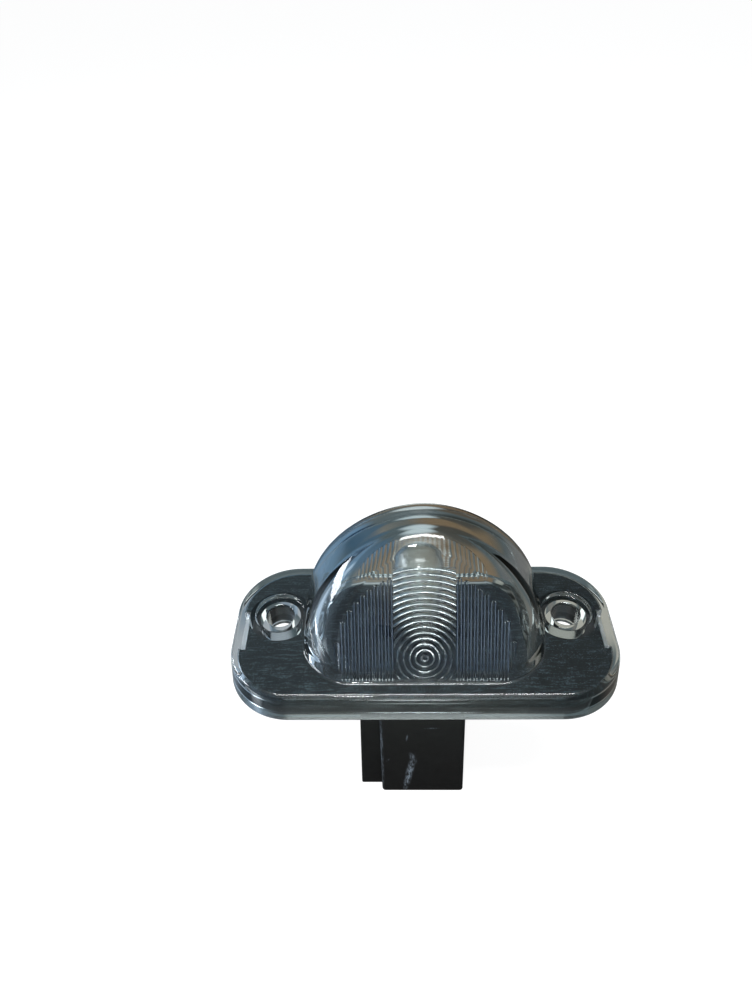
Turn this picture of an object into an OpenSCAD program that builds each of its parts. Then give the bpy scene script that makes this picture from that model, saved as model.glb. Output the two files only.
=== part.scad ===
// Number plate lamp: a clear domed lens on a flange, with a bulb and a plug socket behind it.
// Origin: midway between the two screw holes, on the plane where the lamp meets the bodywork.
// +X runs along the flange, +Y away from the number plate, +Z out of the bodywork, towards the dome.

/* [Flange] */
// Length of the flange at its foot
flange_length = 80; // [72:0.5:96]
// Width of the flange at its foot
flange_width = 36; // [34:0.5:44]
// Height of the flange over the bodywork
flange_height = 7.1; // [6.5:0.1:9]
// Corner radius of the flange in plan
flange_corner_r = 13; // [8:0.5:15]
// Thickness of the clear top plate
top_wall = 2; // [1.4:0.1:2.6]
// Thickness of the skirt
skirt_wall = 1.8; // [1.4:0.1:2.4]
// Lean of the skirt: how far its top lies inside its foot
skirt_lean = 0.5; // [0.2:0.1:0.8]
// Radius along the flange's upper edge
edge_r = 1.1; // [0.6:0.1:1.6]
// Drop of the sloping strip in front of the dome
front_drop = 0.35; // [0.1:0.05:0.6]
// Length of the lug inside each end
lug_length = 9.6; // [7:0.2:12]
// Depth of the lug inside each end
lug_depth = 1.2; // [0.8:0.1:2]
// Height of the lug's foot over the bodywork
lug_foot = 0.8; // [0.4:0.1:1.5]

/* [Screw holes] */
// Distance from a screw hole's axis to the end of the flange
screw_end = 9.65; // [9.5:0.05:12]
// How far the screw holes lie behind the flange's middle
screw_setback = 3.9; // [2:0.1:5]
// Radius of a screw hole
screw_hole_r = 3; // [2.2:0.1:3.3]
// Radius of the shallow recess round a screw hole
recess_r = 5.2; // [4.6:0.1:5.6]
// Depth of that recess
recess_depth = 1; // [0.5:0.1:1.2]
// Outer radius of a screw boss
boss_r = 4.35; // [4:0.05:4.6]

/* [Dome] */
// Distance from a screw hole's axis to the side of the dome
screw_to_dome = 5.85; // [5.7:0.05:8]
// Height of the dome over the flange
dome_height = 26.6; // [23:0.1:32]
// How square the arch is: 2 is an ellipse
arch_power = 1.86; // [1.8:0.02:2.3]
// Distance from the screw line forward to the foot of the front face
dome_front = 18.2; // [16:0.1:18.6]
// Distance from the screw line back to the foot of the rear face
dome_back = 12.4; // [11:0.1:12.6]
// Lean of the flat front face from upright
front_lean = 27; // [18:1:30]
// Lean of the rear face from upright
back_lean = 8; // [4:1:12]
// Front edge radius at the foot of the dome
front_foot_r = 10.4; // [7:0.1:11]
// Front edge radius at the crown of the dome
front_crown_r = 5.8; // [4:0.1:7]
// Rear edge radius
back_r = 8.5; // [6:0.1:10]
// Wall of the dome
dome_wall = 2.5; // [1.8:0.1:2.8]

/* [Optics] */
// Half width of the middle band that carries the rings
band_half = 6; // [5:0.1:7]
// Height of the rings' centre, measured up the front face
ring_centre = 3.3; // [2.5:0.1:5]
// Distance from ring to ring
ring_pitch = 1.18; // [1:0.02:1.3]
// Number of rings
ring_count = 15; // [6:1:15]
// Height of a ring
ring_rise = 0.35; // [0.2:0.05:0.5]
// Thickness of the pad under the rings
ring_pad = 0.08; // [0.05:0.01:0.15]
// Distance from rib to rib
rib_pitch = 1.3; // [1.2:0.05:1.8]
// Radius of a rib
rib_r = 0.48; // [0.3:0.02:0.55]
// Radius of the arch on which the ribs end, round the rings' centre
rib_arch_r = 17.3; // [14:0.1:17.6]
// Distance from rib to rib on the rear face
rear_rib_pitch = 1.1; // [1:0.05:1.6]
// Radius of a rib on the rear face
rear_rib_r = 0.36; // [0.25:0.01:0.45]
// Height up to which the rear face has ribs
rear_rib_height = 15.9; // [12:0.1:17]

/* [Base plate and gasket] */
// Thickness of the gasket as it is squeezed
gasket_height = 2.1; // [1.5:0.1:2.6]
// Gap between the lens and the pieces that lie inside its skirt
skirt_gap = 0.3; // [0.2:0.05:0.6]
// Gap between the top plate and the base plate
seat_gap = 0.1; // [0.05:0.05:0.2]
// Radius of the base plate's cut-out round a boss
plate_hole_r = 6.7; // [6:0.1:7]

/* [Bulb holder] */
// Width of the plug socket's box at its mouth
box_width = 18.7; // [17.5:0.1:20]
// How much narrower each outer side of the box is at the bodywork
box_taper = 0.9; // [0:0.1:1.2]
// Distance from the screw line forward to the box's front
box_front = 16.9; // [15.5:0.1:16.9]
// Distance from the screw line back to the box's rear
box_back = 6; // [5.5:0.1:8]
// Depth of the box below the bodywork plane
box_depth = 36.3; // [32:0.1:42]
// Wall of the box
box_wall = 1.6; // [1.2:0.1:2]
// Radius of the box's upright edges
box_edge_r = 0.8; // [0.4:0.1:1.2]
// Width of the latch channel on the box's left, at the mouth
latch_width = 4.8; // [4.2:0.1:6]
// How far the latch channel is set back from the box's front
latch_setback = 2; // [1:0.1:3]
// Depth of the latch channel from front to rear
latch_run = 11; // [8:0.5:13]
// Wall of the latch channel
latch_wall = 1.1; // [0.9:0.1:1.4]
// Depth of the hollow that takes the plug
socket_depth = 21; // [16:0.5:24]
// Front to rear size of that hollow
socket_run = 12.4; // [10:0.1:13]
// Width of the neck that goes up through the base plate
neck_width = 15; // [13.5:0.1:16]
// Front to rear size of the neck
neck_run = 9; // [8:0.1:10]
// Height of the neck over the bodywork plane
neck_height = 8.6; // [7.5:0.1:10]
// How far the neck's two hooks stand out
hook_depth = 0.9; // [0.6:0.1:1.2]
// Width of a hook
hook_width = 4; // [3:0.5:6]
// Height of a hook
hook_height = 2.2; // [1.5:0.1:3]
// Gap between the neck and the base plate's hole
neck_gap = 0.15; // [0.1:0.05:0.3]

/* [Bulb] */
// How far the bulb and its holder's neck lie left of the middle
bulb_shift = 0.8; // [0:0.1:1.2]
// Diameter of the bulb's glass
bulb_d = 10; // [9:0.1:10.4]
// Length of the bulb
bulb_length = 26.8; // [25:0.1:27]
// Height of the bulb's top over the bodywork plane
bulb_top = 25.9; // [24.5:0.1:26.5]
// Thickness of the glass
glass_wall = 0.6; // [0.4:0.05:0.8]
// Width of the wedge base
wedge_width = 9.2; // [8.8:0.1:9.5]
// Thickness of the wedge base
wedge_thickness = 2.2; // [2:0.1:2.5]
// Height of the wedge base
wedge_height = 9.5; // [9:0.1:10.5]
// Radius of a lead wire
wire_r = 0.25; // [0.2:0.01:0.3]
// Distance from the bulb's axis to each lead wire
wire_offset = 2.4; // [2:0.1:2.8]
// Length of a wire's tail, folded up on the wedge
tail_length = 5.7; // [4:0.1:7]
// Height over which the foot of the glass draws in
draw_height = 2.5; // [2:0.1:3]
// How much smaller the radius of the glass is at its foot
draw_depth = 0.5; // [0.3:0.05:0.8]
// Height of the filament over the foot of the glass
filament_height = 17.2; // [16:0.1:18.5]
// Radius of the filament's coil
coil_r = 0.36; // [0.28:0.02:0.45]
// Radius of the filament's wire
filament_r = 0.08; // [0.06:0.01:0.1]
// Number of turns of the filament
coil_turns = 9; // [6:1:10]

/* [Contacts] */
// Thickness of a contact strip
strip_thickness = 0.8; // [0.6:0.05:1]
// Width of a contact strip
strip_width = 2.8; // [2.4:0.1:3]
// How far the spring leaf ends below the neck's top
leaf_setback = 1; // [0.5:0.1:2]
// Depth of the strip's crossing below the bodywork plane
crossing_depth = 5; // [4:0.1:7]
// How far the blade ends inside the socket's mouth
blade_setback = 8; // [6:0.1:10]
// Gap round a contact in the bulb holder
strip_gap = 0.05; // [0.05:0.05:0.15]

/* [Hidden] */
$fn = 48;
cut = 0.5;              // how far a cut runs past the face that it opens
arch_steps = 30;        // half-planes along the dome's arch
fillet_steps = 6;       // points along each edge radius of the dome
edge_steps = 4;         // points along the flange's upper edge
glass_steps = 12;       // points along the round top of the glass
flange_y = -screw_setback;
plate_top = flange_height - top_wall - seat_gap;
plate_inset = skirt_wall + skirt_gap;
screw_x = flange_length / 2 - screw_end;
dome_half_width = screw_x - screw_to_dome;
face_y = -dome_front + dome_wall / cos(front_lean);
rear_y = dome_back - dome_wall / cos(back_lean);
rib_count = floor((sqrt(pow(rib_arch_r, 2) - pow(ring_centre, 2)) - band_half) / rib_pitch) + 1;
rear_rib_count = floor((dome_half_width - back_r - band_half) / rear_rib_pitch) - 1;
band_rib_count = floor(rear_rib_height / rear_rib_pitch);
bulb_foot = bulb_top - bulb_length;
bulb_r = bulb_d / 2;
bulb_neck = bulb_foot + wedge_height;
coil_z = bulb_foot + filament_height;
coil_half = wire_offset - wire_r;
strip_y = wedge_thickness / 2 + 2 * wire_r;
blade_y = -box_front + box_wall + socket_run / 2;
blade_foot = -box_depth + blade_setback;

// The dome. Its arch lies in the XZ plane round the point (0, 0, flange_height).
function arch_radius(angle, w, h) =
    pow(pow(abs(cos(angle)) / w, arch_power) + pow(abs(sin(angle)) / h, arch_power), -1 / arch_power);
function unit(v) = v / norm(v);
function fillet(corner, way_in, way_out, r) =
    let (a = unit(way_in), b = unit(way_out), turn = acos(a * b),
         start = corner - a * r * tan(turn / 2),
         side = unit(b - a * (a * b)))
    [for (i = [0:fillet_steps])
        let (t = turn * i / fillet_steps) start + r * (a * sin(t) + side * (1 - cos(t)))];
function dome_section(angle, inset) =
    let (r = arch_radius(angle, dome_half_width - inset, dome_height - inset),
         front = tan(front_lean) * sin(angle),
         back = tan(back_lean) * sin(angle),
         foot = -dome_front + inset / cos(front_lean),
         heel = dome_back - inset / cos(back_lean),
         front_r = front_foot_r + (front_crown_r - front_foot_r) * sin(angle) - inset)
    concat(fillet([r, foot + r * front], [1, front], [0, 1], front_r),
           fillet([r, heel - r * back], [0, 1], [-1, back], back_r - inset));
function dome_row(angle, inset) =
    [for (p = dome_section(angle, inset)) [p[0] * cos(angle), p[1], flange_height + p[0] * sin(angle)]];

// The dome's outer form, or its hollow where inset is its wall. It runs down by drop below the flange's top.
module dome_form(inset, drop) {
    rows = [for (i = [0:arch_steps]) dome_row(180 * i / arch_steps, inset)];
    m = len(rows[0]);
    n = arch_steps;
    front_pole = [0, -dome_front + inset / cos(front_lean), flange_height];
    back_pole = [0, dome_back - inset / cos(back_lean), flange_height];
    skin = [for (row = rows) for (p = row) p];
    loop = concat([front_pole], rows[0], [back_pole], [for (j = [m - 1:-1:0]) rows[n][j]]);
    low = [for (p = loop) [p[0], p[1], p[2] - drop]];
    a = n * m + m;          // index of the front pole, then the back pole, then the lower loop
    b = a + 1;
    c = a + 2;
    rim = concat([a], [for (j = [0:m - 1]) j], [b], [for (j = [m - 1:-1:0]) n * m + j]);
    k = len(rim);
    polyhedron(
        points = concat(skin, [front_pole, back_pole], low),
        faces = concat(
            [for (i = [0:n - 1]) [a, (i + 1) * m, i * m]],
            [for (i = [0:n - 1]) for (j = [0:m - 2])
                [i * m + j, (i + 1) * m + j, (i + 1) * m + j + 1, i * m + j + 1]],
            [for (i = [0:n - 1]) [b, i * m + m - 1, (i + 1) * m + m - 1]],
            [for (i = [0:k - 1]) [rim[i], rim[(i + 1) % k], c + (i + 1) % k, c + i]],
            [[for (i = [0:k - 1]) c + i]]),
        convexity = 4);
}

// A plate with round corners, drawn in plan about the flange's middle.
module rounded_plan(length, width, r) {
    square([length - 2 * r, width], center = true);
    square([length, width - 2 * r], center = true);
    for (x = [-1, 1]) for (y = [-1, 1])
        translate([x * (length / 2 - r), y * (width / 2 - r)]) circle(r = r);
}

// Section of the flange's edge, from the corner's centre outwards.
function edge_section() =
    let (top_r = flange_corner_r - skirt_lean - edge_r, z = flange_height - edge_r)
    concat([[0, 0], [flange_corner_r, 0]],
           [for (i = [0:edge_steps]) let (t = 90 * i / edge_steps)
               [top_r + edge_r * cos(t), z + edge_r * sin(t)]],
           [[0, flange_height]]);

module flange_slab() {
    half_x = flange_length / 2 - flange_corner_r;
    half_y = flange_width / 2 - flange_corner_r;
    translate([0, flange_y, 0]) {
        translate([-half_x, -half_y, 0]) cube([2 * half_x, 2 * half_y, flange_height]);
        for (x = [-1, 1]) for (y = [-1, 1]) {
            turn = x > 0 ? (y > 0 ? 0 : 270) : (y > 0 ? 90 : 180);
            translate([x * half_x, y * half_y, 0]) rotate([0, 0, turn])
                rotate_extrude(angle = 90) polygon(edge_section());
        }
        for (y = [-1, 1])
            translate([-y * half_x, y * half_y, 0]) rotate([90, 0, y > 0 ? 90 : -90])
                linear_extrude(2 * half_x) polygon(edge_section());
        for (x = [-1, 1])
            translate([x * half_x, x * half_y, 0]) rotate([90, 0, x > 0 ? 0 : 180])
                linear_extrude(2 * half_y) polygon(edge_section());
    }
}

// Places children on the inner front face: origin at its foot, Y up the face, Z into the dome.
module on_front_face() {
    translate([0, face_y, flange_height]) rotate([90 - front_lean, 0, 0]) mirror([0, 0, 1]) children();
}

// Places children on the inner rear face: origin at its foot, Y up the face, Z into the dome.
module on_rear_face() {
    translate([0, rear_y, flange_height]) rotate([90 + back_lean, 0, 0]) children();
}

// Rings of V section on a thin pad, cut off at the edges of the middle band.
module ring_optics() {
    first = 0.5 * ring_pitch;
    ridge = [for (k = [0:ring_count - 1]) for (p = [[first + k * ring_pitch, ring_pad],
                                                   [first + (k + 0.5) * ring_pitch, ring_rise]]) p];
    outer = first + ring_count * ring_pitch;
    on_front_face() intersection() {
        translate([0, ring_centre, 0]) rotate_extrude()
            polygon(concat([[0, -cut], [0, ring_rise]], ridge, [[outer, ring_pad], [outer, -cut]]));
        translate([-band_half, ring_pad, -2 * cut]) cube([2 * band_half, ring_centre + outer, 4 * cut]);
    }
}

// Upright half-round ribs beside the band, each with a round upper end on the arch.
module rib_optics() {
    for (side = [-1, 1]) for (k = [0:rib_count - 1]) {
        x = band_half + (k + 0.5) * rib_pitch;
        top = ring_centre + sqrt(max(pow(rib_arch_r, 2) - x * x, 1));
        on_front_face() translate([side * x, 0, 0]) {
            rotate([-90, 0, 0]) cylinder(r = rib_r, h = top, $fn = 24);
            translate([0, top, 0]) sphere(r = rib_r, $fn = 24);
        }
    }
}

// Rear face: upright ribs at the sides, level ribs in the middle band.
module rear_optics() {
    for (side = [-1, 1]) for (k = [0:rear_rib_count - 1]) {
        x = band_half + (k + 1) * rear_rib_pitch;
        on_rear_face() translate([side * x, 0, 0]) rotate([-90, 0, 0])
            cylinder(r = rear_rib_r, h = rear_rib_height * (1 - pow(x / dome_half_width, 3)), $fn = 24);
    }
    for (k = [1:band_rib_count]) on_rear_face() translate([-band_half, k * rear_rib_pitch, 0])
        rotate([0, 90, 0]) cylinder(r = rear_rib_r, h = 2 * band_half, $fn = 24);
}

module lens() {
    inner_length = flange_length - 2 * skirt_wall;
    inner_width = flange_width - 2 * skirt_wall;
    tray = flange_height - top_wall;
    color("lightcyan", 0.5) {
        difference() {
            union() {
                difference() {
                    union() {
                        flange_slab();
                        dome_form(0, cut);
                    }
                    translate([0, flange_y, -cut]) linear_extrude(tray + cut)
                        rounded_plan(inner_length, inner_width, flange_corner_r - skirt_wall);
                    dome_form(dome_wall, top_wall + cut);
                    front_slope();
                }
                for (x = [-1, 1]) translate([x * screw_x, 0, 0]) cylinder(r = boss_r, h = tray + cut);
                for (x = [-1, 1]) lug(x, 0, lug_foot);
                ring_optics();
                rib_optics();
                rear_optics();
            }
            for (x = [-1, 1]) translate([x * screw_x, 0, 0]) {
                translate([0, 0, -cut]) cylinder(r = screw_hole_r, h = flange_height + 2 * cut);
                translate([0, 0, flange_height - recess_depth]) cylinder(r = recess_r, h = recess_depth + cut);
            }
        }
    }
}

// Wedge that is taken off the flange's top between the dome's foot and the front edge.
module front_slope() {
    run = flange_width / 2 + screw_setback - dome_front;
    translate([-flange_length / 2, -dome_front, flange_height]) rotate([90, 0, 90])
        linear_extrude(flange_length) polygon([[0, 0], [-run - cut, -front_drop * (run + cut) / run],
                                               [-run - cut, cut], [0, cut]]);
}

// Lug inside one end of the skirt. The pieces beside it take the same shape grown by gap.
module lug(side, gap, foot) {
    outer = flange_length / 2 - skirt_wall / 2;
    depth = skirt_wall / 2 + lug_depth + gap;
    tray = flange_height - top_wall;
    translate([side > 0 ? outer - depth : -outer, flange_y - lug_length / 2 - gap, foot])
        cube([depth, lug_length + 2 * gap, tray - foot + skirt_wall / 2]);
}

// Plan of what lies inside the skirt.
module inner_plan() {
    rounded_plan(flange_length - 2 * plate_inset, flange_width - 2 * plate_inset,
                 flange_corner_r - plate_inset);
}

// Plan of the bulb holder's neck.
module neck_plan(grow) {
    translate([-bulb_shift, 0]) square([neck_width + 2 * grow, neck_run + 2 * grow], center = true);
}

// Plan of the box and its latch channel where they pass the bodywork.
module box_plan(grow) {
    half = box_width / 2;
    latch_y = latch_setback - box_front;
    translate([-half - grow, -box_front - grow])
        square([box_width - box_taper + 2 * grow, box_front + box_back + 2 * grow]);
    translate([-half - latch_width + box_taper - grow, latch_y - grow])
        square([latch_width - box_taper + 2 * grow, latch_run + 2 * grow]);
}

module base_plate() {
    color("dimgray") difference() {
        translate([0, flange_y, gasket_height]) linear_extrude(plate_top - gasket_height) inner_plan();
        translate([0, 0, -cut]) linear_extrude(flange_height) neck_plan(neck_gap);
        for (x = [-1, 1]) translate([x * screw_x, 0, 0]) cylinder(r = plate_hole_r, h = flange_height);
        for (x = [-1, 1]) lug(x, skirt_gap, -cut);
    }
}

module gasket() {
    color("black") difference() {
        translate([0, flange_y, 0]) linear_extrude(gasket_height) inner_plan();
        translate([0, 0, -cut]) linear_extrude(flange_height) box_plan(skirt_gap);
        for (x = [-1, 1]) translate([x * screw_x, 0, -cut]) cylinder(r = boss_r + skirt_gap, h = flange_height);
        for (x = [-1, 1]) lug(x, skirt_gap, -cut);
    }
}

module upright_box(low, high, z_low, z_high, r) {
    middle = (low + high) / 2;
    translate([middle[0], middle[1], z_low]) linear_extrude(z_high - z_low)
        rounded_plan(high[0] - low[0], high[1] - low[1], r);
}

// Outer form of the box and its latch channel, up to the base plate's underside.
// The outer sides lean in as far as the bodywork plane.
module box_form() {
    half = box_width / 2;
    latch_y = -box_front + latch_setback;
    left = -half - latch_width;
    intersection() {
        union() {
            upright_box([-half, -box_front], [half, box_back], -box_depth, gasket_height, box_edge_r);
            upright_box([left, latch_y], [-half + box_edge_r, latch_y + latch_run], -box_depth, gasket_height,
                        box_edge_r / 2);
        }
        translate([0, box_back + cut, 0]) rotate([90, 0, 0]) linear_extrude(box_back + box_front + 2 * cut)
            polygon([[left, -box_depth], [half, -box_depth], [half - box_taper, 0],
                     [half - box_taper, gasket_height], [left + box_taper, gasket_height], [left + box_taper, 0]]);
    }
}

// Hook on one side of the neck. It rests on the base plate's upper face.
module neck_hook(side) {
    base = plate_top + seat_gap;
    translate([-bulb_shift + side * neck_width / 2, 0, base]) mirror([side > 0 ? 0 : 1, 0, 0])
        rotate([90, 0, 0]) translate([0, 0, -hook_width / 2]) linear_extrude(hook_width)
            polygon([[-cut, 0], [hook_depth, 0], [hook_depth, hook_depth / 2], [0, hook_height],
                     [-cut, hook_height]]);
}

module bulb_holder() {
    half = box_width / 2;
    inner_width = box_width - 2 * box_wall - box_taper;
    latch_y = -box_front + latch_setback;
    color("black") difference() {
        union() {
            box_form();
            linear_extrude(neck_height) neck_plan(0);
            for (side = [-1, 1]) neck_hook(side);
        }
        // Hollow for the plug
        translate([-half + box_wall, -box_front + box_wall, -box_depth - cut])
            cube([inner_width, socket_run, socket_depth + cut]);
        // Latch channel, open at the mouth
        translate([-half - latch_width + latch_wall, latch_y + latch_wall, -box_depth - cut])
            cube([latch_width - latch_wall, latch_run - 2 * latch_wall, socket_depth + cut]);
        // Pocket that saves material behind the socket
        translate([-half + box_wall, -box_front + 2 * box_wall + socket_run, -box_depth - cut])
            cube([inner_width, box_back + box_front - 3 * box_wall - socket_run, socket_depth + cut]);
        // Slot for the wedge base and its wires
        translate([-bulb_shift - wedge_width / 2 - neck_gap, -strip_y - neck_gap,
                   bulb_foot - 2 * wire_r - neck_gap])
            cube([wedge_width + 2 * neck_gap, 2 * strip_y + 2 * neck_gap, neck_height + box_depth]);
        contact_form(-1, strip_gap);
        contact_form(1, strip_gap);
    }
}

// Stamped strip: spring leaf beside the wedge base, crossing, and blade in the socket.
module contact_form(side, gap) {
    t = strip_thickness;
    leaf_y = side * (strip_y + t / 2);
    low_y = min(leaf_y, blade_y) - t / 2 - gap;
    high_y = max(leaf_y, blade_y) + t / 2 + gap;
    x = -bulb_shift + side * wire_offset;
    leaf_top = neck_height - leaf_setback;
    way_in = gap > 0 ? leaf_setback + cut : 0;
    translate([x - strip_width / 2 - gap, 0, 0]) {
        translate([0, leaf_y - t / 2 - gap, -crossing_depth - t - gap])
            cube([strip_width + 2 * gap, t + 2 * gap, leaf_top + crossing_depth + t + gap + way_in]);
        translate([0, low_y, -crossing_depth - t - gap])
            cube([strip_width + 2 * gap, high_y - low_y, t + 2 * gap]);
        translate([0, blade_y - t / 2 - gap, blade_foot])
            cube([strip_width + 2 * gap, t + 2 * gap, -crossing_depth - blade_foot]);
    }
}

module contact_front() {
    color("goldenrod") contact_form(-1, 0);
}

module contact_back() {
    color("goldenrod") contact_form(1, 0);
}

// Closed outline of the glass from its axis: drawn-in foot, straight sides, round top.
function glass_outline(r, foot) =
    concat([[0, foot], [r - draw_depth, foot], [r, foot + draw_height]],
           [for (i = [0:glass_steps]) let (t = 90 * i / glass_steps)
               [r * cos(t), bulb_top - bulb_r + r * sin(t)]]);

module bulb_glass() {
    color("azure", 0.5) translate([-bulb_shift, 0, 0]) difference() {
        union() {
            rotate_extrude() polygon(glass_outline(bulb_r, bulb_neck));
            translate([-wedge_width / 2, -wedge_thickness / 2, bulb_foot])
                cube([wedge_width, wedge_thickness, wedge_height + glass_wall]);
        }
        rotate_extrude() polygon(glass_outline(bulb_r - glass_wall, bulb_neck + 2 * glass_wall));
        for (side = [-1, 1]) translate([side * wire_offset, 0, bulb_foot - cut])
            cylinder(r = wire_r, h = wedge_height + 2 * glass_wall + 2 * cut, $fn = 24);
    }
}

// One wire: post in the glass, run through the wedge, and tail folded up on its flat side.
module lead_wire(side) {
    fold_y = side * (wedge_thickness / 2 + wire_r);
    foot = bulb_foot - wire_r;
    color("silver") translate([-bulb_shift + side * wire_offset, 0, 0]) {
        translate([0, 0, foot]) cylinder(r = wire_r, h = coil_z - foot, $fn = 24);
        translate([0, 0, foot]) sphere(r = wire_r, $fn = 24);
        translate([0, 0, foot]) rotate([side > 0 ? -90 : 90, 0, 0])
            cylinder(r = wire_r, h = abs(fold_y), $fn = 24);
        translate([0, fold_y, foot]) sphere(r = wire_r, $fn = 24);
        translate([0, fold_y, foot]) cylinder(r = wire_r, h = tail_length, $fn = 24);
    }
}

module lead_wire_left() {
    lead_wire(-1);
}

module lead_wire_right() {
    lead_wire(1);
}

// A coil swept along X between the two posts.
module filament() {
    sides = 5;
    per_turn = 8;
    count = coil_turns * per_turn;
    span = 2 * coil_half;
    points = [for (i = [0:count]) for (j = [0:sides - 1])
        let (t = 360 * i / per_turn, s = 360 * j / sides,
             x = -coil_half + span * i / count, r = coil_r + filament_r * cos(s))
        [x - bulb_shift + filament_r * sin(s), r * cos(t), coil_z + r * sin(t)]];
    faces = concat(
        [[for (j = [0:sides - 1]) j]],
        [for (i = [0:count - 1]) for (j = [0:sides - 1])
            [i * sides + j, (i + 1) * sides + j,
             (i + 1) * sides + (j + 1) % sides, i * sides + (j + 1) % sides]],
        [[for (j = [sides - 1:-1:0]) count * sides + j]]);
    color("gray") polyhedron(points = points, faces = faces, convexity = 10);
}

lens();
base_plate();
gasket();
bulb_holder();
contact_front();
contact_back();
bulb_glass();
filament();
lead_wire_left();
lead_wire_right();
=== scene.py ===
"""Number plate lamp: surfaces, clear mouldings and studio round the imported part.

The classes hold their sizes in millimetres, in the part's own frame: the origin lies midway between the
two screw holes on the bodywork plane, +X along the flange, +Z towards the dome. Blender gets metres.
"""

from __future__ import annotations

import logging
import math
from contextlib import contextmanager
from dataclasses import dataclass
from enum import Enum
from typing import Callable, Iterable, Iterator, Sequence

import bmesh
import bpy
import numpy as np
from mathutils import Matrix, Vector

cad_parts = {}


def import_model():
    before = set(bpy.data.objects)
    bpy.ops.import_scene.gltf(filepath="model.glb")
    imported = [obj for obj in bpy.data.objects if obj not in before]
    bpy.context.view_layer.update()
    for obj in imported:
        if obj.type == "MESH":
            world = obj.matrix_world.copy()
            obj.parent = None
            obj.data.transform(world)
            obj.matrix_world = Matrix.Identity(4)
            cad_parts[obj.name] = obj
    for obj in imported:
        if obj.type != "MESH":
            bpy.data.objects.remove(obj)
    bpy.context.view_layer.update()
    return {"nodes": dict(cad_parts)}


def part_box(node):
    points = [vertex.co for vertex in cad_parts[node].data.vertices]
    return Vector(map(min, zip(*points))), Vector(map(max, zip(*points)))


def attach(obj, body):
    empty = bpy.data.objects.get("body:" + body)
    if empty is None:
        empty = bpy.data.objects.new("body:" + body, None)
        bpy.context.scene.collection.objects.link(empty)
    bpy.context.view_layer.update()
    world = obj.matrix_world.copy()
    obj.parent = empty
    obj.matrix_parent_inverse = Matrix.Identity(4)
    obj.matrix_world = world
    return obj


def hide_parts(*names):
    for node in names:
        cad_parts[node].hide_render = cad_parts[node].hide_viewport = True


LOG = logging.getLogger("plate_lamp")
MM = 0.001
BODY = "root"

Point = tuple[float, float, float]
Pair = tuple[float, float]
Face = Sequence[int]
Thing = bpy.types.Object
Material = bpy.types.Material
Tree = bpy.types.NodeTree
Socket = bpy.types.NodeSocket
Node = bpy.types.Node


class Cut(Enum):
    """How one solid acts on another."""

    JOIN = "UNION"
    TAKE_AWAY = "DIFFERENCE"


def linear(hex_colour: str) -> tuple[float, float, float, float]:
    """Turns an sRGB hex colour into the linear colour that a shader socket takes.

    Args:
        hex_colour: six hex digits, such as "1b1b1b".

    Returns:
        Linear red, green, blue and an alpha of 1.
    """
    channels = [int(hex_colour[i:i + 2], 16) / 255 for i in (0, 2, 4)]
    curve = [c / 12.92 if c <= 0.04045 else ((c + 0.055) / 1.055) ** 2.4 for c in channels]
    return (curve[0], curve[1], curve[2], 1.0)


def add_node(tree: Tree, kind: str, settings: dict | None = None, links: dict | None = None) -> Node:
    """Adds one node with its settings and links.

    Args:
        tree: the node tree that takes the node.
        kind: Blender's name for the node's type, without the part that all of them share.
        settings: values by property name or by input socket.
        links: output sockets by the input socket that each one feeds.

    Returns:
        The new node.
    """
    node = tree.nodes.new("ShaderNode" + kind)
    for key, value in (settings or {}).items():
        if isinstance(key, str) and hasattr(node, key):
            setattr(node, key, value)
        else:
            node.inputs[key].default_value = value
    for key, source in (links or {}).items():
        tree.links.new(source, node.inputs[key])
    return node


def new_material(name: str) -> Material:
    """Makes an empty node material.

    Args:
        name: the material's name.

    Returns:
        The material, which has no nodes yet.
    """
    material = bpy.data.materials.new(name)
    material.use_nodes = True
    material.node_tree.nodes.clear()
    return material


@contextmanager
def editing(mesh: bpy.types.Mesh) -> Iterator[bmesh.types.BMesh]:
    """Opens a mesh for changes and writes them back.

    Args:
        mesh: the mesh that changes.

    Returns:
        The open mesh, to be used in a with statement.
    """
    draft = bmesh.new()
    draft.from_mesh(mesh)
    yield draft
    draft.to_mesh(mesh)
    draft.free()


def linked(name: str, data: bpy.types.ID) -> Thing:
    """Makes an object of that data and links it to the scene.

    Args:
        name: the object's name.
        data: its mesh, lamp or camera.

    Returns:
        The new object.
    """
    made = bpy.data.objects.new(name, data)
    bpy.context.scene.collection.objects.link(made)
    return made


def mesh_object(name: str, points: Iterable[Point], faces: Iterable[Face]) -> Thing:
    """Makes a closed mesh object whose faces all point outwards.

    Args:
        name: the object's name.
        points: corner positions.
        faces: corner indices of each face.

    Returns:
        The object, linked to the scene.
    """
    mesh = bpy.data.meshes.new(name)
    mesh.from_pydata(list(points), [], list(faces))
    with editing(mesh) as draft:
        bmesh.ops.recalc_face_normals(draft, faces=draft.faces)
    return linked(name, mesh)


def grid_faces(rows: int, columns: int, round_rows: bool = False, round_columns: bool = False) -> list[Face]:
    """Quads between points that are counted row by row.

    Args:
        rows: how many rows of points there are.
        columns: how many points a row has.
        round_rows: whether the last row meets the first.
        round_columns: whether each row's last point meets its first.

    Returns:
        Corner indices of each quad.
    """
    return [(j * columns + i, j * columns + (i + 1) % columns, (j + 1) % rows * columns + (i + 1) % columns,
             (j + 1) % rows * columns + i)
            for j in range(rows - 1 + round_rows) for i in range(columns - 1 + round_columns)]


def stacked(name: str, rings: Sequence[Sequence[Point]]) -> Thing:
    """Skins a stack of rings with equal counts and closes both ends.

    Args:
        name: the object's name.
        rings: rings of points, from one end to the other.

    Returns:
        The closed mesh.
    """
    count = len(rings[0])
    points = [p for ring in rings for p in ring]
    ends = [range(count), range(len(points) - count, len(points))]
    return mesh_object(name, points, [*ends, *grid_faces(len(rings), count, round_columns=True)])


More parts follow.
